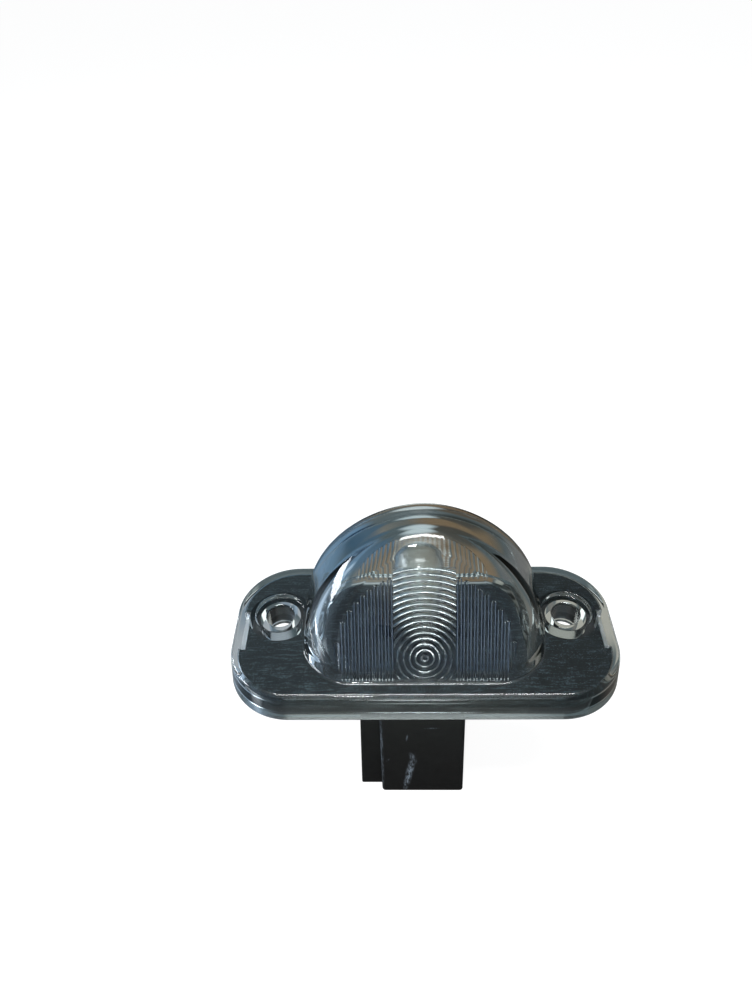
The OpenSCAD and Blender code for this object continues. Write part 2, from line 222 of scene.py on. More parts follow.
def turned(name: str, profile: Sequence[Pair], centre: Pair, steps: int = 96) -> Thing:
    """Turns a profile of (radius, height) pairs round an upright axis and closes its ends.

    Args:
        name: the object's name.
        profile: the pairs, from the foot up.
        centre: where the axis stands.
        steps: how many points go round.

    Returns:
        The closed mesh.
    """
    rings = [[(centre[0] + r * math.cos(math.tau * i / steps), centre[1] + r * math.sin(math.tau * i / steps), z)
              for i in range(steps)] for r, z in profile]
    return stacked(name, rings)


def joined_rings(name: str, loops: Sequence[Sequence[Point]]) -> Thing:
    """Skins a section that runs round a closed path: loops are the sections, in order."""
    points = [p for loop in loops for p in loop]
    return mesh_object(name, points, grid_faces(len(loops), len(loops[0]), True, True))


def walls(rim: Face, base: int) -> list[Face]:
    """Quads from a closed rim of points down to as many points counted from base, and the floor between those."""
    turns = [(k, (k + 1) % len(rim)) for k in range(len(rim))]
    return [(rim[k], base + k, base + m, rim[m]) for k, m in turns] + [range(base, base + len(rim))]


def relief(name: str, xs: np.ndarray, ups: np.ndarray, height: np.ndarray, root: float,
           place: Callable[[float, float, float], Point]) -> Thing:
    """Makes a closed pad whose upper side is a height map.

    Args:
        name: the object's name.
        xs: grid positions across.
        ups: grid positions up the face.
        height: heights over the face, indexed [up, across].
        root: how deep the pad's flat underside lies in the wall.
        place: turns (across, up, out) on the face into a point of the part.

    Returns:
        The pad.
    """
    wide, tall = len(xs), len(ups)
    points = [place(x, up, height[j, i]) for j, up in enumerate(ups) for i, x in enumerate(xs)]
    edge = [(i, 0) for i in range(wide)] + [(wide - 1, j) for j in range(1, tall)]
    edge += [(i, tall - 1) for i in range(wide - 2, -1, -1)] + [(0, j) for j in range(tall - 2, 0, -1)]
    base = len(points)
    points += [place(xs[i], ups[j], -root) for i, j in edge]
    rim = [j * wide + i for i, j in edge]
    return mesh_object(name, points, grid_faces(tall, wide) + walls(rim, base))


def combine(target: Thing, tools: Iterable[Thing], cut: Cut) -> None:
    """Joins tools to target, or takes them away, and removes them.

    Args:
        target: the closed mesh that changes.
        tools: closed meshes that act on it.
        cut: what they do.
    """
    for tool in tools:
        act = target.modifiers.new(cut.name, "BOOLEAN")
        act.operation = cut.value
        act.solver = "MANIFOLD"
        act.object = tool
        graph = bpy.context.evaluated_depsgraph_get()
        old = target.data
        target.data = bpy.data.meshes.new_from_object(target.evaluated_get(graph))
        target.modifiers.clear()
        bpy.data.meshes.remove(old)
        bpy.data.objects.remove(tool)


def smooth(target: Thing, crease_deg: float) -> None:
    """Shades a mesh smooth up to an angle, with the flat faces' own direction kept.

    Args:
        target: the object that changes.
        crease_deg: edges that turn more than this stay sharp.
    """
    target.data.polygons.foreach_set("use_smooth", [True] * len(target.data.polygons))
    with editing(target.data) as draft:
        for edge in draft.edges:
            edge.smooth = edge.is_manifold and edge.calc_face_angle(0.0) < math.radians(crease_deg)
    weigh = target.modifiers.new("flat faces first", "WEIGHTED_NORMAL")
    weigh.keep_sharp = True
    weigh.weight = 100


def quarter(steps: int) -> list[float]:
    """Angles of a quarter turn, from 0 to 90 degrees, in radians: one more than steps."""
    return [math.radians(90 * i / steps) for i in range(steps + 1)]


def round_corner(corner: Pair, way_in: Pair, way_out: Pair, radius: float, steps: int) -> list[Pair]:
    """Points of the arc that rounds a corner between two directions.

    Args:
        corner: where both lines meet.
        way_in: direction of the line that comes in.
        way_out: direction of the line that goes out.
        radius: the arc's radius.
        steps: how many pieces the arc has.

    Returns:
        The arc's points, in order.
    """
    a = Vector(way_in).normalized()
    b = Vector(way_out).normalized()
    turn = math.acos(max(-1.0, min(1.0, a.dot(b))))
    start = Vector(corner) - a * radius * math.tan(turn / 2)
    side = (b - a * a.dot(b)).normalized()
    angles = [turn * i / steps for i in range(steps + 1)]
    return [tuple(start + radius * (a * math.sin(t) + side * (1 - math.cos(t)))) for t in angles]


def round_plan(length: float, width: float, radius: float, centre_y: float, steps: int = 24,
               centre_x: float = 0.0) -> list[Pair]:
    """Outline of a plate with round corners, anticlockwise from its right side.

    Args:
        length: size across.
        width: size from front to rear.
        radius: radius of the corners.
        centre_y: the middle, from front to rear.
        steps: how many pieces a corner has.
        centre_x: the middle, across.

    Returns:
        The outline's points.
    """
    points = []
    for corner, (sx, sy) in enumerate(((1, 1), (-1, 1), (-1, -1), (1, -1))):
        x = centre_x + sx * (length / 2 - radius)
        y = centre_y + sy * (width / 2 - radius)
        for i in range(steps + 1):
            t = math.radians(90 * (corner + i / steps))
            points.append((x + radius * math.cos(t), y + radius * math.sin(t)))
    return points


def block(name: str, low: Point, high: Point, corner: float, levels: Sequence[Pair],
          lean: Pair = (0.0, 0.0)) -> Thing:
    """Makes an upright box with round corners.

    Args:
        name: the object's name.
        low: its lowest corner.
        high: its highest corner.
        corner: radius of the upright edges.
        levels: (inset, height) pairs from the foot up, for round or open ends.
        lean: how far the left and right sides have come in at height 0.

    Returns:
        The closed block.
    """
    rings = []
    for inset, z in levels:
        share = min(1.0, max(0.0, (z - low[2]) / -low[2])) if low[2] < 0 else 0.0
        left = low[0] + lean[0] * share + inset
        right = high[0] - lean[1] * share - inset
        plan = round_plan(right - left, high[1] - low[1] - 2 * inset, max(0.05, corner - inset),
                          (low[1] + high[1]) / 2, 6, (left + right) / 2)
        rings.append([(x, y, z) for x, y in plan])
    return stacked(name, rings)


def soft_ends(low: float, high: float, foot: float, top: float, steps: int = 4) -> list[Pair]:
    """Levels of a box with round lower and upper edges.

    Args:
        low: height of its foot.
        high: height of its top.
        foot: radius of the lower edge, 0 for a sharp one.
        top: radius of the upper edge, 0 for a sharp one.
        steps: how many pieces an edge has.

    Returns:
        (inset, height) pairs from the foot up.
    """
    turns = quarter(steps)
    lower = [(foot * (1 - math.sin(t)), low + foot * (1 - math.cos(t))) for t in turns] if foot else [(0.0, low)]
    upper = [(top * (1 - math.cos(t)), high - top * (1 - math.sin(t))) for t in turns] if top else [(0.0, high)]
    return lower + upper


@dataclass(frozen=True)
class Finish:
    """How one kind of surface looks, as procedural nodes over the piece's own coordinates."""

    name: str

    def shader(self, tree: Tree, place: Socket) -> Node:
        """Builds what the surface is made of, from the position on the piece in metres."""
        raise NotImplementedError

    def make(self) -> Material:
        """Builds the material round the shader.

        Returns:
            The material.
        """
        material = new_material(self.name)
        tree = material.node_tree
        place = add_node(tree, "TexCoord").outputs["Object"]
        add_node(tree, "OutputMaterial", None, {"Surface": self.shader(tree, place).outputs["BSDF"]})
        return material


def grain(tree: Tree, place: Socket, size_mm: float, detail: float, strength: float,
          depth_mm: float) -> tuple[Socket, Socket]:
    """Spreads soft noise over a piece.

    Args:
        tree: the material's nodes.
        place: the position on the piece.
        size_mm: how far its hills lie apart.
        detail: how many finer layers it has.
        strength: how much of its relief shows.
        depth_mm: how deep that relief is.

    Returns:
        The noise's level and the normal of its relief.
    """
    noise = add_node(tree, "TexNoise", {"Scale": 1 / (size_mm * MM), "Detail": detail}, {"Vector": place})
    level = noise.outputs["Fac"]
    bump = add_node(tree, "Bump", {"Strength": strength, "Distance": depth_mm * MM}, {"Height": level})
    return level, bump.outputs["Normal"]


@dataclass(frozen=True)
class ClearBody(Finish):
    """A clear material whose slow swells bend what shows through it."""

    body: str
    ior: float
    roughness: float
    swell_mm: float
    swell_depth: float
    swell_detail: float

    def frosting(self, tree: Tree, place: Socket) -> dict[str, Socket]:
        """Feeds the roughness where it isn't the same all over, which it is here."""
        return {}

    def shader(self, tree: Tree, place: Socket) -> Node:
        """Builds the clear body with its swells.

        Args:
            tree: the material's nodes.
            place: the position on the piece, in metres.

        Returns:
            The shader node.
        """
        _, normal = grain(tree, place, self.swell_mm, self.swell_detail, self.swell_depth, self.swell_mm)
        return add_node(tree, "BsdfPrincipled",
                        {"Base Color": linear(self.body), "Roughness": self.roughness, "IOR": self.ior,
                         "Transmission Weight": 1.0}, {"Normal": normal, **self.frosting(tree, place)})


@dataclass(frozen=True)
class ClearPolycarbonate(ClearBody):
    """Polycarbonate, moulded against polished steel: sharp reflections, a faint blue-grey body.

    The two end lugs were moulded against blasted steel, so they scatter light and look frosted.
    """

    name: str = "clear polycarbonate, polished mould"
    body: str = "f1f8fb"
    ior: float = 1.585
    roughness: float = 0.012
    swell_mm: float = 9.0
    swell_depth: float = 0.005
    swell_detail: float = 1.0
    frost: float = 0.42
    frost_middle: Point = (37.6, -3.9, 2.6)
    frost_reach: Point = (0.75, 4.9, 2.9)

    def frosting(self, tree: Tree, place: Socket) -> dict[str, Socket]:
        """Feeds the roughness of the two kinds of mould.

        Args:
            tree: the material's nodes.
            place: the position on the piece, in metres.

        Returns:
            The roughness socket: that of polished steel, and a blasted mould's inside the end lugs.
        """
        sizes = add_node(tree, "VectorMath", {"operation": "MULTIPLY", 1: (1 / MM, 1 / MM, 1 / MM)}, {0: place})
        parts = add_node(tree, "SeparateXYZ", None, {"Vector": sizes.outputs["Vector"]}).outputs
        across = add_node(tree, "Math", {"operation": "ABSOLUTE"}, {0: parts["X"]}).outputs["Value"]
        inside = None
        for value, middle, reach in zip((across, parts["Y"], parts["Z"]), self.frost_middle, self.frost_reach):
            near = add_node(tree, "Math", {"operation": "COMPARE", 1: middle, 2: reach}, {0: value}).outputs["Value"]
            inside = near if inside is None else add_node(tree, "Math", {"operation": "MULTIPLY"},
                                                          {0: inside, 1: near}).outputs["Value"]
        rough = add_node(tree, "MapRange", {"To Min": self.roughness, "To Max": self.frost}, {"Value": inside})
        return {"Roughness": rough.outputs["Result"]}


@dataclass(frozen=True)
class BlownGlass(ClearBody):
    """Soda glass, blown and pinched: clear, with soft swells and a soft sheen that carries the lamps' glints."""

    name: str = "soda glass, blown"
    body: str = "f8fbf8"
    ior: float = 1.52
    roughness: float = 0.15
    swell_mm: float = 5.0
    swell_depth: float = 0.08
    swell_detail: float = 0.0


@dataclass(frozen=True)
class BlackMoulding(Finish):
    """A black moulding: how dull it is, and the relief of its grain."""

    body: str
    specular: float
    relief: float
    relief_mm: float
    grain_mm: float = 0.35
    grain_detail: float = 4.0
    ior: float = 1.5


@dataclass(frozen=True)
class GrainedPolyamide(BlackMoulding):
    """Glass-filled polyamide, moulded: black, with pale specks and streaks of fibre along the flow."""

    name: str = "black polyamide, glass filled"
    body: str = "06090a"
    specular: float = 0.3
    relief: float = 0.3
    relief_mm: float = 0.05
    roughness: float = 0.55
    grain_mm: float = 0.3
    grain_detail: float = 3.0
    fibre: str = "3d4b50"
    streak: float = 9.0
    streak_detail: float = 2.0
    fibre_from: float = 0.25
    fibre_full: float = 0.45

    def shader(self, tree: Tree, place: Socket) -> Node:
        """Builds the dark body, its drawn-out specks and a light grain.

        Args:
            tree: the material's nodes.
            place: the position on the piece, in metres.

        Returns:
            The shader node.
        """
        drawn = add_node(tree, "Mapping", {"Scale": (1 / self.streak, 1.0, 1.0)}, {"Vector": place}).outputs["Vector"]
        levels = [add_node(tree, "TexNoise", {"Scale": 1 / (self.grain_mm * MM), "Detail": detail}, {"Vector": where})
                  for where, detail in ((place, self.grain_detail), (drawn, self.streak_detail))]
        both = add_node(tree, "Math", {"operation": "MULTIPLY"},
                        {i: level.outputs["Fac"] for i, level in enumerate(levels)}).outputs["Value"]
        mask = add_node(tree, "MapRange", {"From Min": self.fibre_from, "From Max": self.fibre_full}, {"Value": both})
        colour = add_node(tree, "Mix", {"data_type": "RGBA", 6: linear(self.body), 7: linear(self.fibre)},
                          {0: mask.outputs["Result"]})
        bump = add_node(tree, "Bump", {"Strength": self.relief, "Distance": self.relief_mm * MM}, {"Height": both})
        return add_node(tree, "BsdfPrincipled",
                        {"Roughness": self.roughness, "IOR": self.ior, "Specular IOR Level": self.specular},
                        {"Base Color": colour.outputs[2], "Normal": bump.outputs["Normal"]})


@dataclass(frozen=True)
class MouldedRubber(BlackMoulding):
    """Rubber, pressed in a mould: dull black with a fine powdery grain, and painted shade in the grain's hollows."""

    name: str = "black rubber, pressed"
    body: str = "1d1d1c"
    specular: float = 0.5
    relief: float = 0.4
    relief_mm: float = 0.06
    roughness: float = 0.8
    # hollow: colour of the painted shade in the grain's hollows.
    hollow: str = "141414"

    def shader(self, tree: Tree, place: Socket) -> Node:
        """Builds the dull body, with painted shade that darkens the hollows of its grain.

        Args:
            tree: the material's nodes.
            place: the position on the piece, in metres.

        Returns:
            The shader node.
        """
        level, normal = grain(tree, place, self.grain_mm, self.grain_detail, self.relief, self.relief_mm)
        # Painted shade: the grain's low places take the darker hollow colour.
        tone = add_node(tree, "Mix", {"data_type": "RGBA", 6: linear(self.hollow), 7: linear(self.body)}, {0: level})
        return add_node(tree, "BsdfPrincipled",
                        {"Roughness": self.roughness, "IOR": self.ior, "Specular IOR Level": self.specular},
                        {"Base Color": tone.outputs[2], "Normal": normal})


@dataclass(frozen=True)
class Rub:
    """One pale mark on the box, most of them rubbed: its middle and half sizes in mm, its turn, its strength, and how
    deep it goes.
    """

    across: float
    height: float
    half_long: float
    half_wide: float
    turn_deg: float
    strength: float
    half_deep: float = 4.0


@dataclass(frozen=True)
class ScuffedPolyamide(BlackMoulding):
    """Polyamide, moulded and handled: near black, with pale dry scuffs where it was rubbed."""

    name: str = "black polyamide, scuffed"
    body: str = "121212"
    specular: float = 0.3
    relief: float = 0.3
    relief_mm: float = 0.05
    scuff: str = "7d8995"
    cloud_mm: float = 7.0
    cloud_detail: float = 3.0
    front_y: float = -16.9
    satin: Pair = (0.42, 0.62)
    cloud_span: Pair = (0.3, 0.7)
    fray_scale: Point = (1.0, 1.0, 0.25)
    fray_turn: float = 0.14
    fray_density: float = 2600.0
    fray_detail: float = 4.0
    fray_mix: float = 0.65
    torn_span: Pair = (0.42, 0.66)
    rubs: tuple[Rub, ...] = (
        Rub(-9.15, -19.0, 19.0, 0.5, 0.0, 0.5, 3.0),
        Rub(-3.1, -28.6, 8.6, 0.95, 8.0, 1.0),
        Rub(-2.3, -22.2, 2.6, 0.8, -14.0, 0.8),
        # A short pale horizontal mark just under the flange.
        Rub(1.7, -10.6, 1.9, 0.28, 88.0, 0.45),
        Rub(-3.6, -14.2, 1.6, 0.25, 7.0, 0.5),
        Rub(-7.8, -23.0, 1.0, 0.3, 30.0, 0.4),
    )

    def rub_mask(self, tree: Tree, place: Socket, rub: Rub) -> Socket:
        """A soft oval over one rub. The first rub is the worn left edge of the box's front.

        Args:
            tree: the material's nodes.
            place: the position on the piece.
            rub: the mark.

        Returns:
            How strong the mark is at that place, from 0 up.
        """
        local = add_node(tree, "Mapping",
                         {"vector_type": "TEXTURE",
                          "Location": (rub.across * MM, self.front_y * MM, rub.height * MM),
                          "Rotation": (0.0, math.radians(rub.turn_deg), 0.0),
                          "Scale": (rub.half_wide * MM, rub.half_deep * MM, rub.half_long * MM)}, {"Vector": place})
        oval = add_node(tree, "TexGradient", {"gradient_type": "SPHERICAL"}, {"Vector": local.outputs["Vector"]})
        level = add_node(tree, "Math", {"operation": "MULTIPLY", 1: 2 * rub.strength}, {0: oval.outputs["Fac"]})
        return level.outputs["Value"]

    def shader(self, tree: Tree, place: Socket) -> Node:
        """Builds the satin black body with its spark-eroded grain, rubbed marks and worn edge.

        Args:
            tree: the material's nodes.
            place: the position on the piece, in metres.

        Returns:
            The shader node.
        """
        _, normal = grain(tree, place, self.grain_mm, self.grain_detail, self.relief, self.relief_mm)
        cloud = add_node(tree, "TexNoise", {"Scale": 1 / (self.cloud_mm * MM), "Detail": self.cloud_detail},
                         {"Vector": place})
        fray = add_node(tree, "Mapping", {"Scale": self.fray_scale, "Rotation": (0.0, self.fray_turn, 0.0)},
                        {"Vector": place})
        fibres = add_node(tree, "TexNoise",
                          {"Scale": self.fray_density, "Detail": self.fray_detail, "Roughness": self.fray_mix},
                          {"Vector": fray.outputs["Vector"]})
        total, *others = [self.rub_mask(tree, place, rub) for rub in self.rubs]
        for mask in others:
            total = add_node(tree, "Math", {"operation": "MAXIMUM"}, {0: total, 1: mask}).outputs["Value"]
        torn = add_node(tree, "MapRange", {"From Min": self.torn_span[0], "From Max": self.torn_span[1]},
                        {"Value": fibres.outputs["Fac"]})
        worn = add_node(tree, "Math", {"operation": "MULTIPLY", "use_clamp": True},
                        {0: total, 1: torn.outputs["Result"]})
        colour = add_node(tree, "Mix", {"data_type": "RGBA", 6: linear(self.body), 7: linear(self.scuff)},
                          {0: worn.outputs["Value"]})
        rough = add_node(tree, "MapRange",
                         {"From Min": self.cloud_span[0], "From Max": self.cloud_span[1], "To Min": self.satin[0],
                          "To Max": self.satin[1]}, {"Value": cloud.outputs["Fac"]})
        return add_node(tree, "BsdfPrincipled", {"IOR": self.ior, "Specular IOR Level": self.specular},
                        {"Base Color": colour.outputs[2], "Roughness": rough.outputs["Result"], "Normal": normal})


@dataclass(frozen=True)
class BareMetal(Finish):
    """Sheet or wire of one metal, rolled or drawn: fine lines along it that spread the highlight."""

    body: str
    roughness: float
    line_mm: float
    line_detail: float = 2.0
    line_relief: float = 0.3
    line_depth_mm: float = 0.02
    drawn_out: float = 0.05

    def shader(self, tree: Tree, place: Socket) -> Node:
        """Builds the metal with its drawn lines.

        Args:
            tree: the material's nodes.
            place: the position on the piece, in metres.

        Returns:
            The shader node.
        """
        drawn = add_node(tree, "Mapping", {"Scale": (1.0, 1.0, self.drawn_out)}, {"Vector": place}).outputs["Vector"]
        _, normal = grain(tree, drawn, self.line_mm, self.line_detail, self.line_relief, self.line_depth_mm)
        return add_node(tree, "BsdfPrincipled",
                        {"Base Color": linear(self.body), "Metallic": 1.0, "Roughness": self.roughness},
                        {"Normal": normal})


def dress(target: Thing, material: Material) -> None:
    """Gives a piece one material on every slot."""
    target.data.materials.clear()
    target.data.materials.append(material)


def complete(target: Thing, name: str, crease_deg: float, material: Material) -> None:
    """Turns a mesh in millimetres into the dressed piece.

    Args:
        target: the piece.
        name: what it is called from now on.
        crease_deg: the angle up to which its edges are shaded smooth.
        material: its material.
    """
    target.name = name
    target.data.transform(Matrix.Scale(MM, 4))
    smooth(target, crease_deg)
    dress(target, material)


def let_light_through(target: Thing) -> None:
    """Lets lamps reach what lies inside a clear piece without the noise of focused light."""
    target.visible_shadow = False
    target.visible_diffuse = False


@dataclass
class Lens:
    """The clear moulding: flange with skirt and bosses, dome, and the optics inside it."""

    flange_length: float
    flange_width: float
    flange_height: float
    dome_height: float
    flange_y: float = -3.9
    flange_corner_r: float = 13.0
    top_wall: float = 2.0
    skirt_wall: float = 1.8
    skirt_lean: float = 0.5
    edge_r: float = 1.1
    foot_r: float = 0.35
    front_drop: float = 0.35
    lug_length: float = 9.6
    lug_depth: float = 1.2
    lug_foot: float = 0.8
    lug_r: float = 1.0
    screw_x: float = 30.35
    screw_hole_r: float = 3.0
    recess_r: float = 5.2
    recess_depth: float = 1.0
    boss_r: float = 4.35
    boss_foot: float = 0.0
    dome_half_width: float = 24.5
    arch_power: float = 1.86
    dome_front: float = 18.2
    dome_back: float = 12.4
    front_lean: float = 27.0
    back_lean: float = 8.0
    front_foot_r: float = 10.4
    front_crown_r: float = 5.8
    back_r: float = 8.5
    dome_wall: float = 2.5
    blend_r: float = 0.7
    band_half: float = 6.0
    ring_centre: float = 3.3
    ring_pitch: float = 1.18
    ring_count: int = 15
    ring_rise: float = 0.35
    ring_pad: float = 0.08
    rib_pitch: float = 1.3
    rib_r: float = 0.48
    rib_arch_r: float = 17.3
    rear_rib_pitch: float = 1.06
    rear_rise: float = 0.16
    pillow_wide: float = 1.0
    pillow_tall: float = 0.8
    optics_foot: float = 1.9
    ring_grid: float = 0.09
    rear_grid: float = 0.12
    arch_steps: int = 120
    fillet_steps: int = 14
    edge_steps: int = 10
    crease_deg: float = 32.0
    screw_soft: float = 0.25
    relief_root: float = 0.4
    past: float = 1.0
    overlap: float = 0.5
    rib_steps: int = 24
    rear_share: Pair = (0.93, 0.95)
    rear_flat: float = 0.9
    rear_pad: float = 0.04
    rear_sunk: float = -0.1
    blend_shares: tuple[float, ...] = (0, 0.2, 0.4, 0.6, 0.8, 1)

    @classmethod
    def from_frame(cls) -> Lens:
        """Takes the lens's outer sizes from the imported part.

        Returns:
            The lens with those sizes.
        """
        low, high = (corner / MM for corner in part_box("lens"))
        flange_height = 7.1
        return cls(flange_length=high.x - low.x, flange_width=high.y - low.y, flange_height=flange_height,
                   dome_height=high.z - flange_height)

    def top_height(self, y: float) -> float:
        """Height of the flange's upper face, which slopes down in front of the dome.

        Args:
            y: the place, from front to rear.

        Returns:
            The height over the bodywork.
        """
        front_edge = self.flange_width / 2 - self.flange_y
        share = max(0.0, (-y - self.dome_front) / (front_edge - self.dome_front))
        return self.flange_height - self.front_drop * share

    def flange_form(self, name: str, section: Sequence[Pair]) -> Thing:
        """Runs a section of (inset, height) pairs round the flange's plan.

        Args:
            name: the object's name.
            section: the pairs, from the foot up.

        Returns:
            The closed form.
        """
        rings = [[(x, y, z) for x, y in round_plan(self.flange_length - 2 * d, self.flange_width - 2 * d,
                                                   self.flange_corner_r - d, self.flange_y)] for d, z in section]
        return stacked(name, rings)

    def flange_slab(self) -> Thing:
        """The solid flange: leaning sides, round upper edge, sloping front strip.

        Returns:
            The closed form.
        """
        turns = quarter(self.edge_steps)
        section = [(self.foot_r * (1 - math.sin(t)), self.foot_r * (1 - math.cos(t))) for t in turns[::2]]
        top_inset = self.skirt_lean + self.edge_r
        section += [(top_inset - self.edge_r * math.cos(t), self.flange_height - self.edge_r * (1 - math.sin(t)))
                    for t in turns]
        slab = self.flange_form("lens", section)
        with editing(slab.data) as draft:
            bmesh.ops.bisect_plane(draft, geom=draft.verts[:] + draft.edges[:] + draft.faces[:],
                                   plane_co=(0, -self.dome_front, 0), plane_no=(0, 1, 0))
            for vertex in draft.verts:
                vertex.co.z *= self.top_height(vertex.co.y) / self.flange_height
        return slab

    def arch_radius(self, angle: float, inset: float) -> float:
        """Radius of the dome's arch at an angle from the flange.

        Args:
            angle: the angle, in radians.
            inset: how far the form lies inside the dome's outside.

        Returns:
            The distance from the arch's centre.
        """
        across = abs(math.cos(angle)) / (self.dome_half_width - inset)
        up = abs(math.sin(angle)) / (self.dome_height - inset)
        return (across ** self.arch_power + up ** self.arch_power) ** (-1 / self.arch_power)

    def dome_rows(self, inset: float) -> list[list[Point]]:
        """Rows of points over the dome, one for each half-plane of its arch.

        Args:
            inset: how far the form lies inside the dome's outside.

        Returns:
            The rows from right to left, each from front to rear.
        """
        lean = math.radians(self.front_lean)
        heel_lean = math.radians(self.back_lean)
        rows = []
        for i in range(self.arch_steps + 1):
            angle = math.pi * i / self.arch_steps
            up = math.sin(angle)
            reach = self.arch_radius(angle, inset)
            front = math.tan(lean) * up
            back = math.tan(heel_lean) * up
            foot = -self.dome_front + inset / math.cos(lean)
            heel = self.dome_back - inset / math.cos(heel_lean)
            front_r = self.front_foot_r + (self.front_crown_r - self.front_foot_r) * up - inset
            section = round_corner((reach, foot + reach * front), (1, front), (0, 1), front_r, self.fillet_steps)
            section += round_corner((reach, heel - reach * back), (0, 1), (-1, back), self.back_r - inset,
                                    self.fillet_steps)
            rows.append([(r * math.cos(angle), y, self.flange_height + r * up) for r, y in section])
        return rows

    def dome_solid(self, name: str, inset: float, drop: float, lean: float = 0.0) -> Thing:
        """The dome's outer form, or its hollow, carried down below the flange's top.

        Args:
            name: the object's name.
            inset: how far the form lies inside the dome's outside.
            drop: how far it goes down below the flange's top.
            lean: the slope, in degrees, that its front keeps on the way down.

        Returns:
            The closed form.
        """
        rows = self.dome_rows(inset)
        last = len(rows) - 1
        size = len(rows[0])
        points = [p for row in rows for p in row]
        sides = [[i * size + j for i in range(last + 1)] for j in (0, size - 1)]
        rim = list(range(size)) + [last * size + j for j in range(size - 1, -1, -1)]
        base = len(points)
        slide = drop * math.tan(math.radians(lean))
        front = min(points[k][1] for k in rim)
        for k in rim:
            x, y, z = points[k]
            in_front = y - front < self.front_foot_r - inset + 0.01
            points.append((x, y - slide * in_front, z - drop))
        return mesh_object(name, points, [*grid_faces(last + 1, size), *sides, *walls(rim, base)])

    def blend_strip(self) -> Thing:
        """The small hollow fillet where the dome rises from the flange.

        Returns:
            A closed strip round the foot.
        """
        rows = self.dome_rows(0.0)
        plan = [(p[0], p[1]) for p in rows[0]] + [(-p[0], p[1]) for p in reversed(rows[0])]
        loops = []
        for k, (x, y) in enumerate(plan):
            before, after = plan[k - 1], plan[(k + 1) % len(plan)]
            out = Vector((after[1] - before[1], before[0] - after[0], 0)).normalized()
            lean = self.front_lean * max(0.0, -out.y) + self.back_lean * max(0.0, out.y)
            up = Vector((0, 0, 1)) - out * math.tan(math.radians(lean))
            foot = Vector((x, y, self.flange_height))
            low = foot + out * self.blend_r
            low.z = self.top_height(low.y)
            high = foot + up * self.blend_r
            arc = [low * (1 - t) ** 2 + foot * 2 * t * (1 - t) + high * t * t for t in self.blend_shares]
            root = foot - out * self.blend_r - Vector((0, 0, self.blend_r))
            loops.append([tuple(p) for p in arc] + [tuple(root)])
        return joined_rings("blend", loops)

    def tray(self) -> Thing:
        """The hollow under the top plate.

        Returns:
            The closed form that is taken away.
        """
        top = self.flange_height - self.top_wall
        section = [(self.skirt_wall, -self.past), (self.skirt_wall, top - self.foot_r)]
        section += [(self.skirt_wall + self.foot_r * (1 - math.cos(t)), top - self.foot_r * (1 - math.sin(t)))
                    for t in quarter(4)[1:]]
        return self.flange_form("tray", section)

    def lug(self, side: int) -> Thing:
        """The rounded lug inside one end of the skirt.

        Args:
            side: -1 for the left end, 1 for the right.

        Returns:
            The closed form.
        """
        inner = self.flange_length / 2 - self.skirt_wall
        depth = self.lug_depth + self.skirt_wall / 2
        plan = round_plan(depth, self.lug_length, self.lug_r, self.flange_y, 8)
        top = self.flange_height - self.top_wall / 2
        middle = side * (inner - self.lug_depth + depth / 2)
        rings = [[(middle + x, y, z) for x, y in plan] for z in (self.lug_foot, top)]
        return stacked("lug", rings)

    def boss(self, side: int) -> Thing:
        """The round boss under one screw hole."""
        top = self.flange_height - self.top_wall / 2
        return turned("boss", [(self.boss_r, self.boss_foot), (self.boss_r, top)], (side * self.screw_x, 0))

    def screw_cut(self, side: int) -> Thing:
        """What is taken away for one screw: the bore and the shallow recess, with soft edges.

        Args:
            side: -1 for the left screw, 1 for the right.

        Returns:
            The closed form.
        """
        top = self.flange_height
        floor = top - self.recess_depth
        soft = self.screw_soft
        turns = quarter(5)
        profile = [(self.screw_hole_r, -self.past), (self.screw_hole_r, floor - soft)]
        profile += [(self.screw_hole_r + soft * (1 - math.cos(t)), floor - soft * (1 - math.sin(t)))
                    for t in turns[1:]]
        profile += [(self.recess_r - soft * (1 - math.sin(t)), floor + soft * (1 - math.cos(t))) for t in turns]
        profile += [(self.recess_r + soft * (1 - math.cos(t)), top - soft * (1 - math.sin(t))) for t in turns]
        profile += [(self.recess_r + soft, top + self.past)]
        return turned("screw cut", profile, (side * self.screw_x, 0))

    def on_front(self, x: float, up: float, out: float) -> Point:
        """A point on the inner front face: across, up the face, and into the dome.

        Args:
            x: distance across.
            up: distance up the face from the flange's top.
            out: distance into the dome.

        Returns:
            The point in the part's frame.
        """
        lean = math.radians(self.front_lean)
        y = -self.dome_front + self.dome_wall / math.cos(lean)
        return (x, y + up * math.sin(lean) + out * math.cos(lean),
                self.flange_height + up * math.cos(lean) - out * math.sin(lean))

    def on_rear(self, x: float, up: float, out: float) -> Point:
        """A point on the inner rear face: across, up the face, and into the dome.

        Args:
            x: distance across.
            up: distance up the face from the flange's top.
            out: distance into the dome.

        Returns:
            The point in the part's frame.
        """
        lean = math.radians(self.back_lean)
        y = self.dome_back - self.dome_wall / math.cos(lean)
        return (x, y - up * math.sin(lean) - out * math.cos(lean),
                self.flange_height + up * math.cos(lean) - out * math.sin(lean))

    def ring_relief(self) -> Thing:
        """Round-topped rings on their pad, cut off at the edges of the middle band.

        Returns:
            The closed pad.
        """
        top = self.ring_centre + (self.ring_count + 0.5) * self.ring_pitch
        xs = np.linspace(-self.band_half, self.band_half, round(2 * self.band_half / self.ring_grid) + 1)
        ups = np.linspace(-self.optics_foot, top, round((top + self.optics_foot) / self.ring_grid) + 1)
        across, up = np.meshgrid(xs, ups)
        share = np.hypot(across, up - self.ring_centre) / self.ring_pitch
        off_crest = (share - np.round(share)) * self.ring_pitch
        arc_r = (self.ring_pitch ** 2 / 4 + self.ring_rise ** 2) / (2 * self.ring_rise)
        height = self.ring_pad + self.ring_rise - arc_r + np.sqrt(arc_r ** 2 - off_crest ** 2)
        return relief("rings", xs, ups, height, self.relief_root, self.on_front)

